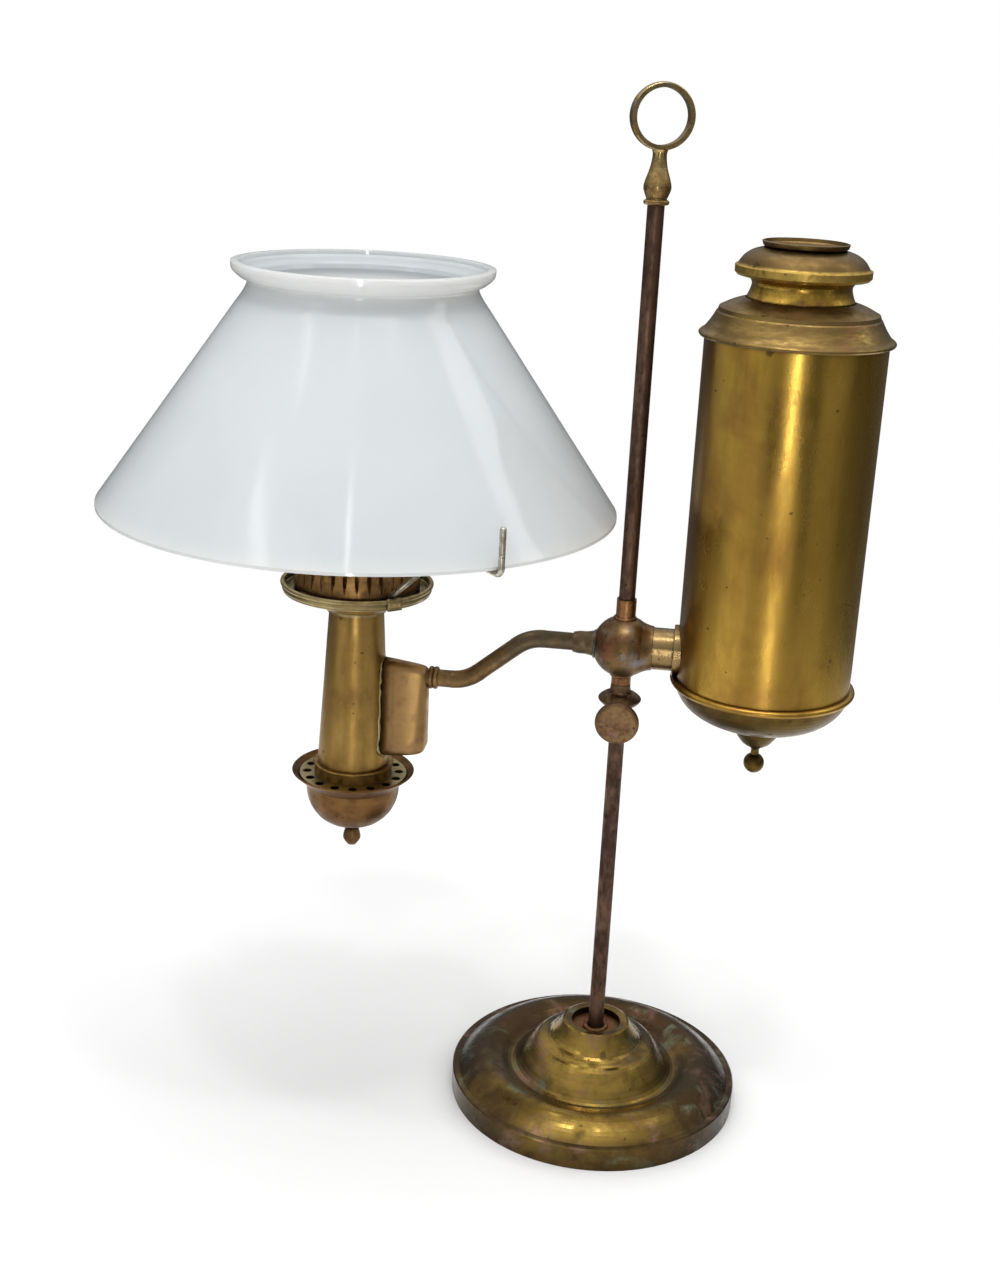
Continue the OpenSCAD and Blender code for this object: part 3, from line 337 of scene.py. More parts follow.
def facing_axis(tree, coords, axis_x):
    """One where a turned piece faces its axis, and zero where it faces outward."""
    away = add(tree, "VectorMath", operation="SUBTRACT", i0=coords, i1=(axis_x, 0, 0)).outputs[0]
    flat = add(tree, "VectorMath", operation="MULTIPLY", i0=away, i1=(1, 1, 0)).outputs[0]
    out = add(tree, "VectorMath", operation="NORMALIZE", i0=flat).outputs[0]
    normal = add(tree, "TexCoord").outputs["Normal"]
    turned = add(tree, "VectorMath", operation="DOT_PRODUCT", i0=normal, i1=out).outputs["Value"]
    return fit(tree, turned, FACES_IN, FACES_OUT, 1, 0)


def opal_glass():
    """Cool, glossy white glass, creamy at its foot, with painted light: lightened at its lip, inside and
    brim, and darkened in its mouth as painted shade.
    """
    material, tree, shader, coords = start("opal_glass")
    low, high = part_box("shade")
    height = add(tree, "SeparateXYZ", Vector=coords).outputs[2]
    # Painted light: the lip is lightened
    lip = fit(tree, height, high.z - 1.6 * SHADE_EDGE, high.z - 0.6 * SHADE_EDGE, 0, 0.9)
    foot = fit(tree, height, low.z, low.z + SHADE_EDGE, 0.3, 0)
    haze = clouds(tree, coords, 0.05, detail=3, rough=0.5, twist=0.2)
    body = blend(tree, fit(tree, haze, 0.35, 0.65, 0, 1), OPAL_DIM, OPAL)
    colour = blend(tree, foot, body, OPAL_FOOT)
    colour = blend(tree, lip, colour, OPAL_LIP_PAINTED_LIGHT)
    # Painted light inside the glass, with the mouth darkened as painted shade and the brim lightened again
    mouth = fit(tree, height, high.z - 1.5 * SHADE_EDGE, high.z - SHADE_EDGE, 0, 1)
    inside = blend(tree, mouth, OPAL_INSIDE_PAINTED_LIGHT, OPAL_MOUTH_PAINTED_SHADE)
    brim = fit(tree, height, high.z - 0.45 * SHADE_EDGE, high.z - 0.25 * SHADE_EDGE, 0, 1)
    inside = blend(tree, brim, inside, OPAL_BRIM_PAINTED_LIGHT)
    colour = blend(tree, facing_axis(tree, coords, BURNER_X), colour, inside)
    ripple = clouds(tree, stretched(tree, coords, (1, 1, 0.5)), 0.022, detail=2, rough=0.4)
    bump = add(tree, "Bump", Strength=0.2, Distance=GLASS_BUMP, Height=ripple)
    gloss = fit(tree, haze, 0.3, 0.7, 0.07, 0.13)
    link(tree, shader, Base_Color=colour, Roughness=gloss, Normal=bump.outputs[0], IOR=1.5)
    link(tree, shader, Subsurface_Weight=0.6, Subsurface_Scale=0.006, Subsurface_Radius=(1.0, 0.95, 0.9))
    return material


def woven_cotton():
    """Wick: upright ribs crossed by fine threads, charred brown at its top."""
    material, tree, shader, coords = start("woven_cotton")
    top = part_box("wick")[1].z
    height = add(tree, "SeparateXYZ", Vector=coords).outputs[2]
    ribs = clouds(tree, stretched(tree, coords, RIB_STRETCH), 0.5, detail=2, rough=0.4)
    threads = clouds(tree, stretched(tree, coords, THREAD_STRETCH), 0.5, detail=2, rough=0.4)
    weave = calc(tree, "MULTIPLY", ribs, threads)
    colour = blend(tree, fit(tree, weave, 0.15, 0.4, 0, 1), COTTON_DIM, COTTON)
    burnt = fit(tree, height, top - CHAR_H, top, 0, 0.9)
    colour = blend(tree, burnt, colour, CHAR)
    bump = add(tree, "Bump", Strength=0.6, Distance=COTTON_BUMP, Height=weave)
    gloss = fit(tree, threads, 0.3, 0.7, 0.8, 0.95)
    link(tree, shader, Base_Color=colour, Roughness=gloss, Normal=bump.outputs[0])
    return material


def oiled_leather():
    """Valve washer: fine leather grain with dark oily patches."""
    material, tree, shader, coords = start("oiled_leather")
    cells = add(tree, "TexVoronoi", Vector=coords, Scale=LEATHER_GRAIN).outputs["Distance"]
    stain = clouds(tree, coords, 0.006, detail=4)
    colour = blend(tree, fit(tree, stain, 0.35, 0.65, 0, 1), LEATHER, LEATHER_OILY)
    bump = add(tree, "Bump", Strength=0.4, Distance=LEATHER_BUMP, Height=cells)
    gloss = fit(tree, stain, 0.3, 0.7, 0.45, 0.65)
    link(tree, shader, Base_Color=colour, Roughness=gloss, Normal=bump.outputs[0])
    return material


MATERIALS = {
    "tank": aged_metal(
        "tank_brass", GOLD, (0.40, 0.24, 0.042), (0.22, 0.115, 0.024), patch=0.05, cover=0.5,
        rough=(0.26, 0.34), spots=0.07, dents=0.06, stretch=(1, 1, 0.3), scratch=0.06, relief=0.07,
        stains=(((0.27, 0.135, 0.032), 0.05, 0.36),), deepen=tank_shaded_side,
    ),
    # Painted shade: the dome's colours are kept far darker than the tank's, for the shade under the tank
    "dome": aged_metal(
        "dome_brass", (0.127, 0.080, 0.019), (0.094, 0.059, 0.015), (0.066, 0.040, 0.013), cover=0.5,
        rough=(0.30, 0.45), grime_and_shade=0.6, dents=0.12, relief=0.2,
    ),
    "base": aged_metal(
        "base_brass", (0.31, 0.20, 0.046), (0.175, 0.112, 0.025), (0.050, 0.031, 0.015), patch=0.03,
        cover=0.5, rough=(0.17, 0.40), spots=0.14, dents=0.10, relief=0.06, grime_and_shade=0.95, grime_and_shade_reach=0.024,
        deepen=base_shaded_sides,
        stains=((UMBER, 0.022, 0.36), (MAUVE, 0.012, 0.30), (VERDIGRIS, 0.010, 0.22)),
    ),
    "shoulder": aged_metal(
        "shoulder_brass", (0.285, 0.19, 0.06), (0.165, 0.108, 0.036), BROWN, patch=0.02, cover=0.5,
        rough=(0.26, 0.46), stains=((BROWN, 0.012, 0.34),), stretch=(1, 1, 4), relief=0.2, grime_and_shade=0.5,
    ),
    "grip": aged_metal(
        "grip_brass", (0.62, 0.43, 0.10), (0.48, 0.32, 0.075), (0.15, 0.095, 0.034), patch=0.012,
        cover=0.4, rough=(0.30, 0.48), deepen=grip_dome, relief=0.15,
    ),
    "neck": aged_metal(
        "neck_brass", GOLD, OLIVE, BROWN, patch=0.014, cover=0.4, rough=(0.22, 0.38), dents=0.1,
        relief=0.12,
    ),
    "bronze": aged_metal(
        "bronze", (0.34, 0.19, 0.072), (0.20, 0.108, 0.044), UMBER, patch=0.010, rough=(0.36, 0.55),
        stains=((RED_BROWN, 0.008, 0.32), (UMBER, 0.007, 0.34)),
    ),
    "handle": aged_metal(
        "handle_brass", (0.50, 0.36, 0.15), (0.30, 0.185, 0.07), UMBER, patch=0.008, cover=0.45,
        rough=(0.26, 0.45), stains=((RED_BROWN, 0.006, 0.30), (SOLDER, 0.005, 0.28)), relief=0.2,
    ),
    "disc": aged_metal(
        "disc_bronze", (0.215, 0.13, 0.062), (0.16, 0.092, 0.046), UMBER, patch=0.007, cover=0.45,
        rough=(0.42, 0.6), spots=0.3, stains=((MAUVE, 0.006, 0.36), (UMBER, 0.004, 0.26)),
    ),
    "collar": aged_metal(
        "collar_bronze", (0.21, 0.135, 0.07), (0.14, 0.088, 0.048), UMBER, patch=0.008, rough=(0.38, 0.55),
        stains=((RED_BROWN, 0.007, 0.28), (UMBER, 0.006, 0.34)),
    ),
    "hub": aged_metal(
        "hub_bronze", (0.19, 0.115, 0.047), (0.115, 0.07, 0.033), UMBER, patch=0.012, cover=0.4,
        rough=(0.34, 0.56), grime_and_shade=0.4, stains=((SOLDER, 0.007, 0.32), (RED_BROWN, 0.008, 0.33)),
    ),
    "pipe": aged_metal(
        "pipe_bronze", (0.27, 0.185, 0.08), (0.18, 0.118, 0.05), BROWN, patch=0.012, cover=0.4,
        rough=(0.24, 0.36), turned="X", scratch=0.3, relief=0.2,
    ),
    "orange": aged_metal(
        "orange_copper", (0.30, 0.15, 0.06), (0.19, 0.095, 0.042), UMBER, patch=0.008, cover=0.5,
        rough=(0.34, 0.5),
    ),
    "feed": aged_metal(
        "feed_copper", (0.25, 0.15, 0.062), (0.16, 0.095, 0.042), (0.085, 0.074, 0.048), patch=0.014,
        rough=(0.34, 0.5), turned="X", stains=((OLIVE, 0.012, 0.30),), deepen=feed_upper_end,
    ),
    "box": aged_metal(
        "box_copper", (0.34, 0.205, 0.078), (0.26, 0.148, 0.07), BROWN, patch=0.02, cover=0.45,
        rough=(0.36, 0.5), spots=0.08, grime_and_shade=0.35,
    ),
    "burner": aged_metal(
        "burner_brass", (0.38, 0.235, 0.066), (0.30, 0.18, 0.05), (0.19, 0.108, 0.034), patch=0.03,
        cover=0.5, rough=(0.30, 0.42), spots=0.08, dents=0.12, stretch=(1, 1, 0.5), relief=0.15, grime_and_shade=0.45,
    ),
    "bowl": aged_metal(
        "bowl_copper", (0.195, 0.098, 0.035), (0.13, 0.063, 0.024), UMBER, patch=0.016, rough=(0.36, 0.5),
    ),
    "crown": aged_metal(
        "crown_copper", (0.40, 0.22, 0.075), (0.26, 0.145, 0.052), UMBER, patch=0.01,
        rough=(0.36, 0.55),
    ),
    "pale": aged_metal(
        "pale_brass", PALE, (0.27, 0.21, 0.095), BROWN, patch=0.016, rough=(0.32, 0.48), scratch=0.03,
    ),
    "recess": aged_metal("recess_copper", RED_BROWN, BROWN, UMBER, patch=0.008, rough=(0.45, 0.65)),
    "rod": aged_metal(
        "rod_patina", (0.16, 0.095, 0.062), PLUM, UMBER, patch=0.008, cover=0.55, rough=(0.44, 0.65),
        spots=0.25, dents=0.5, stretch=(1, 1, 0.4),
    ),
    "nickel": aged_metal("nickel_wire", NICKEL, (0.24, 0.22, 0.18), BROWN, patch=0.012, rough=(0.28, 0.45)),
    "solder": aged_metal("solder_grey", SOLDER, (0.15, 0.15, 0.16), UMBER, patch=0.006, rough=(0.38, 0.6)),
    "iron": aged_metal(
        "cast_iron", (0.06, 0.06, 0.06), (0.035, 0.03, 0.028), (0.07, 0.03, 0.015), patch=0.01,
        rough=(0.55, 0.8), dents=0.6,
    ),
    "opal": opal_glass(),
    "cotton": woven_cotton(),
    "leather": oiled_leather(),
}

NODE_LOOKS = {
    "base": ["base_shell"],
    "iron": ["base_weight", "base_plate", "rod_nut"],
    "recess": ["recess_disc"],
    "rod": ["rod"],
    "handle": ["ring_handle"],
    "bronze": ["cup_knob"],
    "collar": ["clamp_collar", "thumbscrew_stem"],
    "disc": ["thumbscrew_head"],
    "hub": ["hub"],
    "orange": ["hub_sleeve"],
    "pipe": ["tank_pipe", "tank_ring"],
    "feed": ["arm_socket", "feed_pipe", "feed_pipe_beads"],
    "tank": ["tank_casing", "tank_bead"],
    "dome": ["tank_dome", "tank_boss", "tank_finial", "valve_peg"],
    "shoulder": ["font_shoulder", "font_dish"],
    "grip": ["font_grip"],
    "neck": ["font_neck", "font_bottle"],
    "box": ["feed_box", "feed_box_seam"],
    "burner": ["burner_tube", "draft_tube", "burner_floor", "wick_carrier", "cup_band"],
    "pale": ["shade_ring", "air_plate", "valve_seat", "valve_stem"],
    "nickel": ["shade_arm_1", "shade_arm_2", "shade_arm_3"],
    "opal": ["shade"],
    "crown": ["gallery_sleeve", "gallery_plate", "gallery_crown"],
    "bowl": ["drip_bowl"],
    "cotton": ["wick"],
    "leather": ["valve_washer"],
}


def dress(obj, look):
    """Gives a piece one of the materials."""
    obj.data.materials.clear()
    obj.data.materials.append(MATERIALS[look])


for look, names in NODE_LOOKS.items():
    for name in names:
        dress(NODES[name], look)


# Mesh helpers

def new_piece(name, mesh_data, body, look):
    """Turns a finished bmesh into a piece that rides on a body."""
    bmesh.ops.recalc_face_normals(mesh_data, faces=mesh_data.faces)
    mesh = bpy.data.meshes.new(name)
    mesh_data.to_mesh(mesh)
    mesh_data.free()
    mesh.polygons.foreach_set("use_smooth", [True] * len(mesh.polygons))
    piece = bpy.data.objects.new(name, mesh)
    bpy.context.collection.objects.link(piece)
    dress(piece, look)
    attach(piece, body)
    return piece


def skin(rings, closed=True):
    """Quads between rings of points. A closed skin joins its ends, and an open one is capped."""
    bm = bmesh.new()
    rows = [[bm.verts.new(point) for point in ring] for ring in rings]
    pairs = list(zip(rows, rows[1:]))
    if closed:
        pairs.append((rows[-1], rows[0]))
    for a, b in pairs:
        for i in range(len(a)):
            j = (i + 1) % len(a)
            bm.faces.new((a[i], a[j], b[j], b[i]))
    if not closed:
        bm.faces.new(rows[0])
        bm.faces.new(rows[-1])
    return bm


def roughen(bm, amount, size):
    """Moves points along their normals by smooth noise, so that a bead looks hand-made."""
    bm.normal_update()
    for vert in bm.verts:
        vert.co += vert.normal * amount * noise.noise(vert.co / size)


def squared(value, power):
    """A sine or cosine pushed outwards, which turns a circle into a rounded box."""
    return math.copysign(abs(value) ** (2 / power), value)


def around(centre, axis, radius, count):
    """Points of a circle, and the outward direction at each."""
    side = axis.orthogonal().normalized()
    other = axis.cross(side)
    found = []
    for i in range(count):
        a = 2 * math.pi * i / count
        out = side * math.cos(a) + other * math.sin(a)
        found.append((centre + out * radius, out))
    return found


def bead_ring(centre, axis, radius, thick, count=96, sides=12, flat=1.0):
    """A round bead bent into a ring. flat below one makes it lower along the axis."""
    rings = []
    for point, out in around(centre, axis, radius, count):
        ring = []
        for k in range(sides):
            a = 2 * math.pi * k / sides
            ring.append(point + out * thick * math.cos(a) + axis * thick * flat * math.sin(a))
        rings.append(ring)
    return skin(rings)


def bead_loop(path, thick, sides=8):
    """A round bead along a closed path."""
    rings = []
    count = len(path)
    for i, point in enumerate(path):
        ahead = (path[(i + 1) % count] - path[i - 1]).normalized()
        out = (point - Vector((BURNER_X, 0, point.z))).normalized()
        side = ahead.cross(out).normalized()
        lift = side.cross(ahead)
        ring = []
        for k in range(sides):
            a = 2 * math.pi * k / sides
            ring.append(point + side * thick * math.cos(a) + lift * thick * math.sin(a))
        rings.append(ring)
    return skin(rings)


# Feed box

BOX_FOOT_SHARE = 1.1
BOX_TOP_SHARE = 0.55
BOX_RISE = 0.0027
BOX_SINK = 0.0015
BOX_POWER = 4.5
BOX_CROWN = 0.0042
BOX_BITE = 0.0003
BOX_LAYERS = 14
BOX_STEPS = 36
BOX_BACK_STEPS = 12
BOX_CROWN_STEPS = 5
SEAM_R = 0.00085
SEAM_ROUGH = 0.0004
SEAM_WAVE = 0.006


def box_share(height):
    """How far up the feed box a height lies, from zero to one."""
    low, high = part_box("feed_box")
    return (height - low.z) / (high.z - low.z)


def box_half(height):
    """Half the thickness of the feed box, which narrows towards its top."""
    low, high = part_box("feed_box")
    return (high.y - low.y) / 2 * (BOX_FOOT_SHARE + (BOX_TOP_SHARE - BOX_FOOT_SHARE) * box_share(height))


def box_level(height, along):
    """Height on the feed box, whose top slopes down and whose foot slopes up away from the tube."""
    share = box_share(height)
    return height + (1 - along) * (BOX_RISE * share ** 2 - BOX_SINK * (1 - share) ** 2)


def box_ring(height, inset):
    """Plan of the feed box at a height: a rounded oblong whose last points follow the burner tube."""
    half = box_half(height) - inset
    level = box_level(height, 0)
    wall_r = radius_at(TUBE_RINGS, level) - BOX_BITE
    inner = BURNER_X + math.sqrt(wall_r ** 2 - half ** 2)
    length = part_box("feed_box")[1].x - inset - inner
    points = []
    for i in range(BOX_STEPS + 1):
        a = math.pi * (i / BOX_STEPS - 0.5)
        along = squared(math.cos(a), BOX_POWER)
        across = squared(math.sin(a), BOX_POWER)
        points.append(Vector((inner + length * along, half * across, box_level(height, along))))
    for i in range(1, BOX_BACK_STEPS):
        y = half * (1 - 2 * i / BOX_BACK_STEPS)
        points.append(Vector((BURNER_X + math.sqrt(wall_r ** 2 - y ** 2), y, level)))
    return points


def box_rings():
    """Plans of the feed box from its foot to its top, both rounded."""
    low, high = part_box("feed_box")
    turns = [math.pi / 2 * i / BOX_CROWN_STEPS for i in range(BOX_CROWN_STEPS + 1)]
    rounding = [(BOX_CROWN * (1 - math.sin(a)), BOX_CROWN * (1 - math.cos(a))) for a in turns]
    straight = high.z - low.z - 2 * BOX_CROWN
    rings = [box_ring(low.z + lift, inset) for lift, inset in reversed(rounding)]
    for i in range(1, BOX_LAYERS):
        rings.append(box_ring(low.z + BOX_CROWN + straight * i / BOX_LAYERS, 0))
    rings += [box_ring(high.z - drop, inset) for drop, inset in rounding]
    return rings


def make_feed_box():
    """Soft-edged box on the side of the burner tube."""
    mesh_data = skin(box_rings(), closed=False)
    box = new_piece("feed_box_soft", mesh_data, "lamp", "box")
    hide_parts("feed_box")


def make_seam():
    """Bead of solder along the line where the feed box meets the burner tube."""
    rings = box_rings()
    front = [ring[0] for ring in rings]
    back = [ring[BOX_STEPS] for ring in rings]
    foot = rings[0][BOX_STEPS + 1:]
    top = rings[-1][BOX_STEPS + 1:]
    path = []
    for point in front + top[::-1] + back[::-1] + foot:
        axis = Vector((BURNER_X, 0, point.z))
        path.append(axis + (point - axis).normalized() * radius_at(TUBE_RINGS, point.z))
    bead = bead_loop(path, SEAM_R)
    roughen(bead, SEAM_ROUGH, SEAM_WAVE)
    seam = new_piece("feed_box_solder", bead, "lamp", "pale")
    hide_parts("feed_box_seam")


# Rolled rim and clips of the shade ring

ROLL_R = 0.0012
ROLL_COUNT = 128
CLIP_BEARINGS = (-50, 60, 150)
CLIP_WIDE = 0.0075
CLIP_THICK = 0.0005
CLIP_GRIP = 0.9
CLIP_DROP_IN = 0.0022
CLIP_DROP_OUT = 0.0042
CLIP_STEPS = 6
CLIP_ARC = 8


def ring_rim():
    """Radius and height of the middle of the shade ring's rolled rim."""
    low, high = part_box("shade_ring")
    return (high.x - low.x) / 2 - ROLL_R / 3, high.z


def make_ring_rim():
    """Wire-rolled edge on the shade ring."""
    rim_r, rim_z = ring_rim()
    bead = bead_ring(Vector((BURNER_X, 0, rim_z)), UP, rim_r, ROLL_R, ROLL_COUNT)
    new_piece("shade_ring_roll", bead, "lamp", "pale")


def clip_profile(rim_r, rim_z):
    """Section of a clip that is folded over the rolled rim, as pairs of radius and height."""
    outer = []
    inner = []
    for reach, found in ((ROLL_R + CLIP_THICK, outer), (ROLL_R * CLIP_GRIP, inner)):
        found.append((rim_r - reach, rim_z - CLIP_DROP_IN))
        for i in range(CLIP_ARC + 1):
            a = math.pi * (1 - i / CLIP_ARC)
            found.append((rim_r + reach * math.cos(a), rim_z + reach * math.sin(a)))
        found.append((rim_r + reach, rim_z - CLIP_DROP_OUT))
    return outer + inner[::-1]


def make_clips():
    """Strips folded over the rim where the wire arms leave it."""
    rim_r, rim_z = ring_rim()
    profile = clip_profile(rim_r, rim_z)
    half = CLIP_WIDE / 2 / rim_r
    for number, bearing in enumerate(CLIP_BEARINGS, 1):
        rings = []
        for i in range(CLIP_STEPS + 1):
            a = math.radians(bearing) + half * (2 * i / CLIP_STEPS - 1)
            rings.append([Vector((BURNER_X + r * math.cos(a), r * math.sin(a), z)) for r, z in profile])
        new_piece(f"shade_ring_clip_{number}", skin(rings, closed=False), "lamp", "pale")


# Ends of the wire arms. The last ring stays a little open, so that its cap has a size

TIP_RINGS = 5
TIP_SIDES = 20
TIP_NEAR = 0.0001
TIP_TURN = math.radians(88)
TIP_HIGH = 0.8


def make_arm_tips():
    """Filed round end on each upturned wire."""
    for number in (1, 2, 3):
        arm = f"shade_arm_{number}"
        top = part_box(arm)[1].z
        ends = [vert.co for vert in NODES[arm].data.vertices if top - vert.co.z < TIP_NEAR]
        middle = sum(ends, Vector()) / len(ends)
        wire_r = max((end - middle).length for end in ends)
        rings = []
        for i in range(TIP_RINGS + 1):
            a = TIP_TURN * i / TIP_RINGS
            centre = Vector((middle.x, middle.y, top + wire_r * TIP_HIGH * math.sin(a)))
            rings.append([point for point, _ in around(centre, UP, wire_r * math.cos(a), TIP_SIDES)])
        new_piece(f"{arm}_tip", skin(rings, closed=False), "lamp", "nickel")


# Solder and beads on the body

SOLDER_R = 0.0009
SOLDER_COUNT = 72
SOLDER_ROUGH = 0.45 * SOLDER_R
SOLDER_WAVE = 0.004
FILLET_START = 0.0072
FILLET_RUN = 0.0025
FILLET_WALL = 0.0015
FILLET_DIVE = 0.00015
FILLET_STEPS = 16
FILLET_COUNT = 96
SHOULDER_BEAD_IN = 0.0045
SHOULDER_BEAD_R = 0.0007
SHOULDER_BEAD_COUNT = 128
SHOULDER_BEAD_SIDES = 10
PACKING_R = 0.0016
PACKING_OUT = 0.8 * PACKING_R
PACKING_FLAT = 0.8
PACKING_COUNT = 64
PACKING_ROUGH = 0.5 * PACKING_R
PACKING_WAVE = 0.004


def solder_ring(name, centre, axis, radius, look):
    """Uneven bead of solder round a joint of the lamp body."""
    bead = bead_ring(centre, axis, radius, SOLDER_R, SOLDER_COUNT)
    roughen(bead, SOLDER_ROUGH, SOLDER_WAVE)
    new_piece(name, bead, "lamp", look)


def make_hub_solder():
    """Beads where the feed pipe's socket and the sleeve meet the ball."""
    socket_r = span("arm_socket").y / 2
    sleeve_r = span("hub_sleeve").x / 2
    joints = {
        "arm_socket": (-RIGHT, socket_r, "solder"),
        "sleeve_top": (UP, sleeve_r, "orange"),
        "sleeve_foot": (-UP, sleeve_r, "orange"),
    }
    for name, (axis, radius, look) in joints.items():
        away = math.sqrt(HUB_R ** 2 - radius ** 2)
        solder_ring(f"solder_{name}", HUB + axis * away, axis, radius, look)


def make_hub_fillet():
    """Hollow curve of bronze where the ball runs out into the tank pipe. Its ends dive into both."""
    pipe_r = span("tank_pipe").y / 2 - FILLET_DIVE
    ball_r = HUB_R - FILLET_DIVE
    begin_r = math.sqrt(ball_r ** 2 - FILLET_START ** 2)
    begin = (FILLET_START, begin_r)
    bend = (FILLET_START + (begin_r - pipe_r) * begin_r / FILLET_START, pipe_r)
    finish = (bend[0] + FILLET_RUN, pipe_r)
    points = (begin, bend, finish)
    curve = []
    for i in range(FILLET_STEPS + 1):
        t = i / FILLET_STEPS
        shares = ((1 - t) ** 2, 2 * t * (1 - t), t ** 2)
        curve.append([sum(s * p[k] for s, p in zip(shares, points)) for k in (0, 1)])
    section = curve + [(x, r - FILLET_WALL) for x, r in reversed(curve)]
    rings = []
    for _, out in around(HUB, RIGHT, 1, FILLET_COUNT):
        rings.append([HUB + RIGHT * x + out * r for x, r in section])
    new_piece("hub_pipe_fillet", skin(rings), "lamp", "hub")


def make_shoulder_bead():
    """Fine raised line round the shoulder of the font."""
    rings = outline("font_shoulder", TANK_X)
    lip_r = max(radius for _, radius in rings)
    bead_r = lip_r - SHOULDER_BEAD_IN
    height = min(rings, key=lambda ring: abs(ring[1] - bead_r))[0]
    bead = bead_ring(
        Vector((TANK_X, 0, height)), UP, radius_at(rings, height), SHOULDER_BEAD_R,
        SHOULDER_BEAD_COUNT, SHOULDER_BEAD_SIDES,
    )
    new_piece("font_shoulder_line", bead, "font", "shoulder")


def make_rod_packing():
    """Lump of old packing round the rod in the recess of the base."""
    rod_r = span("rod").x / 2
    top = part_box("recess_disc")[1].z
    centre = Vector((0, 0, top))
    bead = bead_ring(centre, UP, rod_r + PACKING_OUT, PACKING_R, PACKING_COUNT, flat=PACKING_FLAT)
    roughen(bead, PACKING_ROUGH, PACKING_WAVE)
    new_piece("rod_packing", bead, "stand", "recess")


# Wick and valve washer

WICK_RIBS = 48
WICK_RIB_STEPS = 4
WICK_RIB_DEPTH = 0.00022
WICK_SLACK = 0.00012
WICK_SLACK_SIZE = 0.007
WICK_LEVELS = 16
WICK_TOP_STEPS = 6
WICK_CUT = 0.0007
WICK_CUT_SIZE = 0.005
WASHER_POWER = 3.2
WASHER_STEPS = 20
WASHER_COUNT = 96
WASHER_WAVE = 0.0002
WASHER_WAVES = 3


def bore(node, axis_x):
    """Radius of the hole through a turned node."""
    return min(math.hypot(vert.co.x - axis_x, vert.co.y) for vert in NODES[node].data.vertices)


def unevenness(place, size):
    """Smooth noise from zero to one, with waves of about size metres."""
    return (1 + noise.noise(place / size)) / 2


def wick_section(turn, wick_r, bore_r):
    """Wall of the wick at one bearing: soft ribs outside and inside, and an uneven cut at its top."""
    low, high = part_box("wick")
    out = Vector((math.cos(turn), math.sin(turn), 0))
    groove = WICK_RIB_DEPTH * (1 - abs(math.cos(WICK_RIBS * turn / 2)))
    top = high.z - WICK_CUT * unevenness(out * wick_r, WICK_CUT_SIZE)
    middle = (wick_r + bore_r) / 2
    half = (wick_r - bore_r) / 2 - groove
    shoulder = top - half
    axis = Vector((BURNER_X, 0, 0))
    outer = []
    inner = []
    for i in range(WICK_LEVELS + 1):
        height = low.z + (shoulder - low.z) * i / WICK_LEVELS
        slack = WICK_SLACK * unevenness(out * wick_r + UP * height, WICK_SLACK_SIZE)
        outer.append(axis + out * (middle + half - slack) + UP * height)
        inner.append(axis + out * (middle - half + slack) + UP * height)
    rounding = []
    for i in range(1, WICK_TOP_STEPS):
        a = math.pi * i / WICK_TOP_STEPS
        rounding.append(axis + out * (middle + half * math.cos(a)) + UP * (shoulder + half * math.sin(a)))
    return outer + rounding + inner[::-1]


def make_wick():
    """Tube of ribbed cotton that stands for the plain wick."""
    wick_r = span("wick").x / 2
    bore_r = bore("wick", BURNER_X)
    count = WICK_RIBS * WICK_RIB_STEPS
    rings = [wick_section(2 * math.pi * i / count, wick_r, bore_r) for i in range(count)]
    wick = new_piece("wick_woven", skin(rings), "wick", "cotton")
    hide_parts("wick")


def make_washer():
    """Soft-edged, slightly wavy leather washer on the valve of the font."""
    low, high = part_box("valve_washer")
    bore_r = bore("valve_washer", TANK_X)
    washer_r = (high.x - low.x) / 2
    half_wide = (washer_r - bore_r) / 2
    half_high = (high.z - low.z) / 2 - WASHER_WAVE
    centre = Vector((TANK_X, 0, spot("valve_washer").z))
    rings = []
    for point, out in around(centre, UP, (washer_r + bore_r) / 2, WASHER_COUNT):
        wave = WASHER_WAVE * math.sin(WASHER_WAVES * math.atan2(out.y, out.x))
        ring = []
        for k in range(WASHER_STEPS):
            a = 2 * math.pi * k / WASHER_STEPS
            along = squared(math.cos(a), WASHER_POWER) * half_wide
            up = squared(math.sin(a), WASHER_POWER) * half_high
            ring.append(point + out * along + UP * (up + wave))
        rings.append(ring)
    washer = new_piece("valve_washer_soft", skin(rings), "font_valve", "leather")
    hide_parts("valve_washer")


make_feed_box()
make_seam()
make_ring_rim()
make_clips()
make_arm_tips()
make_hub_solder()
make_hub_fillet()
make_shoulder_bead()
make_rod_packing()
make_wick()
make_washer()


# Camera, stage and light

def make_camera():
    """Camera at the photograph's place and angle."""
    yaw = math.radians(CAMERA_YAW)
    pitch = math.radians(CAMERA_PITCH)
    ahead = Vector((
        math.sin(yaw) * math.cos(pitch), math.cos(yaw) * math.cos(pitch), -math.sin(pitch),
    ))
    right = Vector((math.cos(yaw), -math.sin(yaw), 0))
    level = Matrix((right, right.cross(ahead), -ahead)).transposed()
    tilt = Matrix.Rotation(math.radians(CAMERA_ROLL), 3, "Z")
    data = bpy.data.cameras.new("camera")
    data.sensor_width = SENSOR
    data.lens = FOCAL_PIXELS * SENSOR / IMAGE_HEIGHT
    camera = bpy.data.objects.new("camera", data)
    camera.matrix_world = Matrix.Translation(CAMERA_PLACE) @ (level @ tilt).to_4x4()
    bpy.context.collection.objects.link(camera)
    bpy.context.scene.camera = camera


FLOOR_R = 0.75
FLOOR_SEGMENTS = 160


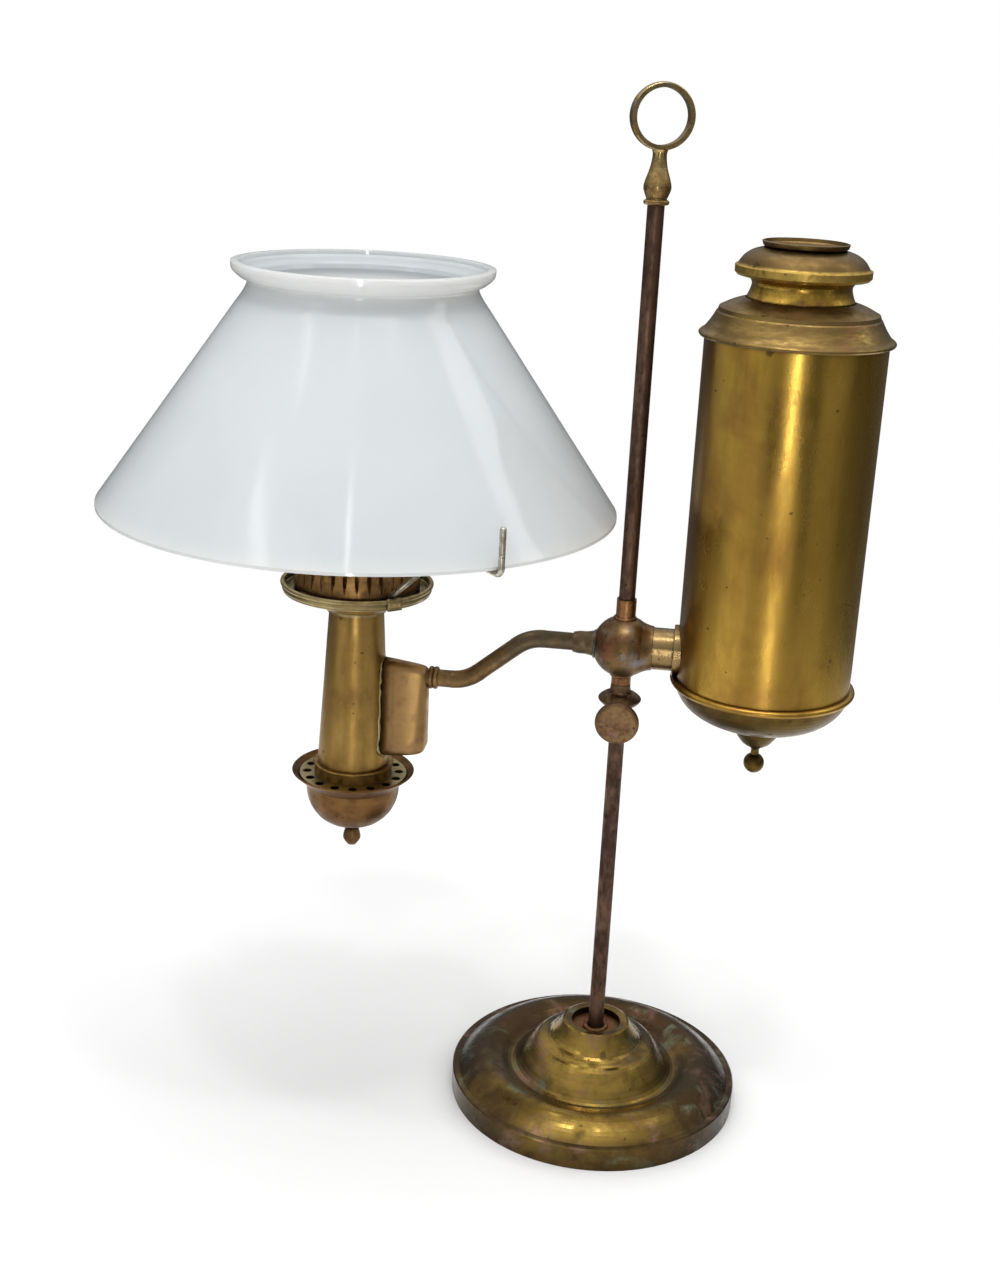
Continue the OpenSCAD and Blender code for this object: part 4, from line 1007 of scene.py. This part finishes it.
def make_stage():
    """Round pale floor, which runs out into the white of the room."""
    bm = bmesh.new()
    bmesh.ops.create_circle(bm, cap_ends=True, segments=FLOOR_SEGMENTS, radius=FLOOR_R)
    mesh = bpy.data.meshes.new("floor")
    bm.to_mesh(mesh)
    bm.free()
    floor = bpy.data.objects.new("floor", mesh)
    bpy.context.collection.objects.link(floor)
    material, tree, shader, coords = start("paper")
    grain = clouds(tree, coords, 0.02, detail=3, rough=0.5)
    colour = blend(tree, grain, PAPER_DIM, PAPER)
    link(tree, shader, Base_Color=colour, Roughness=0.9, Specular_IOR_Level=0.1)
    mesh.materials.append(material)


def area_light(name, place, aim, size, radiance):
    """Rectangular light, as bright as radiance wherever it is seen or mirrored."""
    data = bpy.data.lights.new(name, "AREA")
    data.shape = "RECTANGLE"
    data.size, data.size_y = size
    data.energy = radiance * math.pi * size[0] * size[1]
    lamp = bpy.data.objects.new(name, data)
    lamp.location = place
    lamp.rotation_euler = (Vector(aim) - Vector(place)).to_track_quat("-Z", "Y").to_euler()
    lamp.visible_camera = False
    bpy.context.collection.objects.link(lamp)


ROOM_LOW = 0.12
ROOM_HIGH = 1.05
ROOM_LEFT = 0.95
ROOM_RIGHT = 0.74


def make_room():
    """Soft room: bright above, dim towards the floor and towards the right, plain white behind."""
    world = bpy.data.worlds.new("room")
    world.use_nodes = True
    tree = world.node_tree
    background = tree.nodes["Background"]
    way = add(tree, "SeparateXYZ", Vector=add(tree, "TexCoord").outputs["Generated"])
    rising = fit(tree, way.outputs[2], 0.0, 0.75, ROOM_LOW, ROOM_HIGH)
    across = fit(tree, way.outputs[0], -0.7, 0.8, ROOM_LEFT, ROOM_RIGHT)
    glow = calc(tree, "MULTIPLY", rising, across)
    seen = add(tree, "LightPath").outputs["Is Camera Ray"]
    link(tree, background, Color=WHITE, Strength=calc(tree, "MAXIMUM", glow, seen))
    bpy.context.scene.world = world


GLASS_MIDDLE = spot("shade")
LAMP_MIDDLE = (0, 0, 0.28)

# Each light's place, what it is aimed at, its width and height, and its radiance
LIGHTS = {
    "window_right": ((1.07, 0.24, 1.43), GLASS_MIDDLE, (0.45, 0.9), 1.7),
    "window_left_low": ((-0.99, -0.91, 1.58), GLASS_MIDDLE, (0.4, 0.06), 4),
    "window_left_high": ((-0.98, -0.66, 1.77), GLASS_MIDDLE, (0.4, 0.05), 4),
    "lamp_low": ((-0.02, -1.08, 1.72), GLASS_MIDDLE, (0.05, 0.12), 6),
    "lamp_high": ((-0.08, -0.85, 1.92), GLASS_MIDDLE, (0.05, 0.08), 6),
    "front_strip": ((0.1, -1.6, 0.1), (0.1, 0, 0.15), (0.05, 1.1), 26),
    "front_left": ((-1.2, -1.1, 0.1), (0.07, 0, 0.2), (1.2, 1.0), 0.6),
    "front_right": ((1.3, -0.9, 0.2), (0.07, 0, 0.3), (1.0, 1.0), 0.22),
    "lamp_above_left": ((-0.3, -0.55, 2.1), LAMP_MIDDLE, (0.16, 0.12), 56),
    "lamp_above_right": ((0.2, -0.55, 2.1), LAMP_MIDDLE, (0.16, 0.12), 56),
    "ceiling": ((-0.1, 0.1, 2.4), (-0.1, 0.1, 0), (2.0, 2.0), 1.3),
}


def make_light():
    """Hangs the lights, and keeps the picture's tones as they are."""
    for name, (place, aim, size, radiance) in LIGHTS.items():
        area_light(name, place, aim, size, radiance)
    settings = bpy.context.scene.view_settings
    settings.view_transform = "Standard"
    settings.look = "None"
    settings.exposure = 0.0


make_camera()
make_stage()
make_room()
make_light()
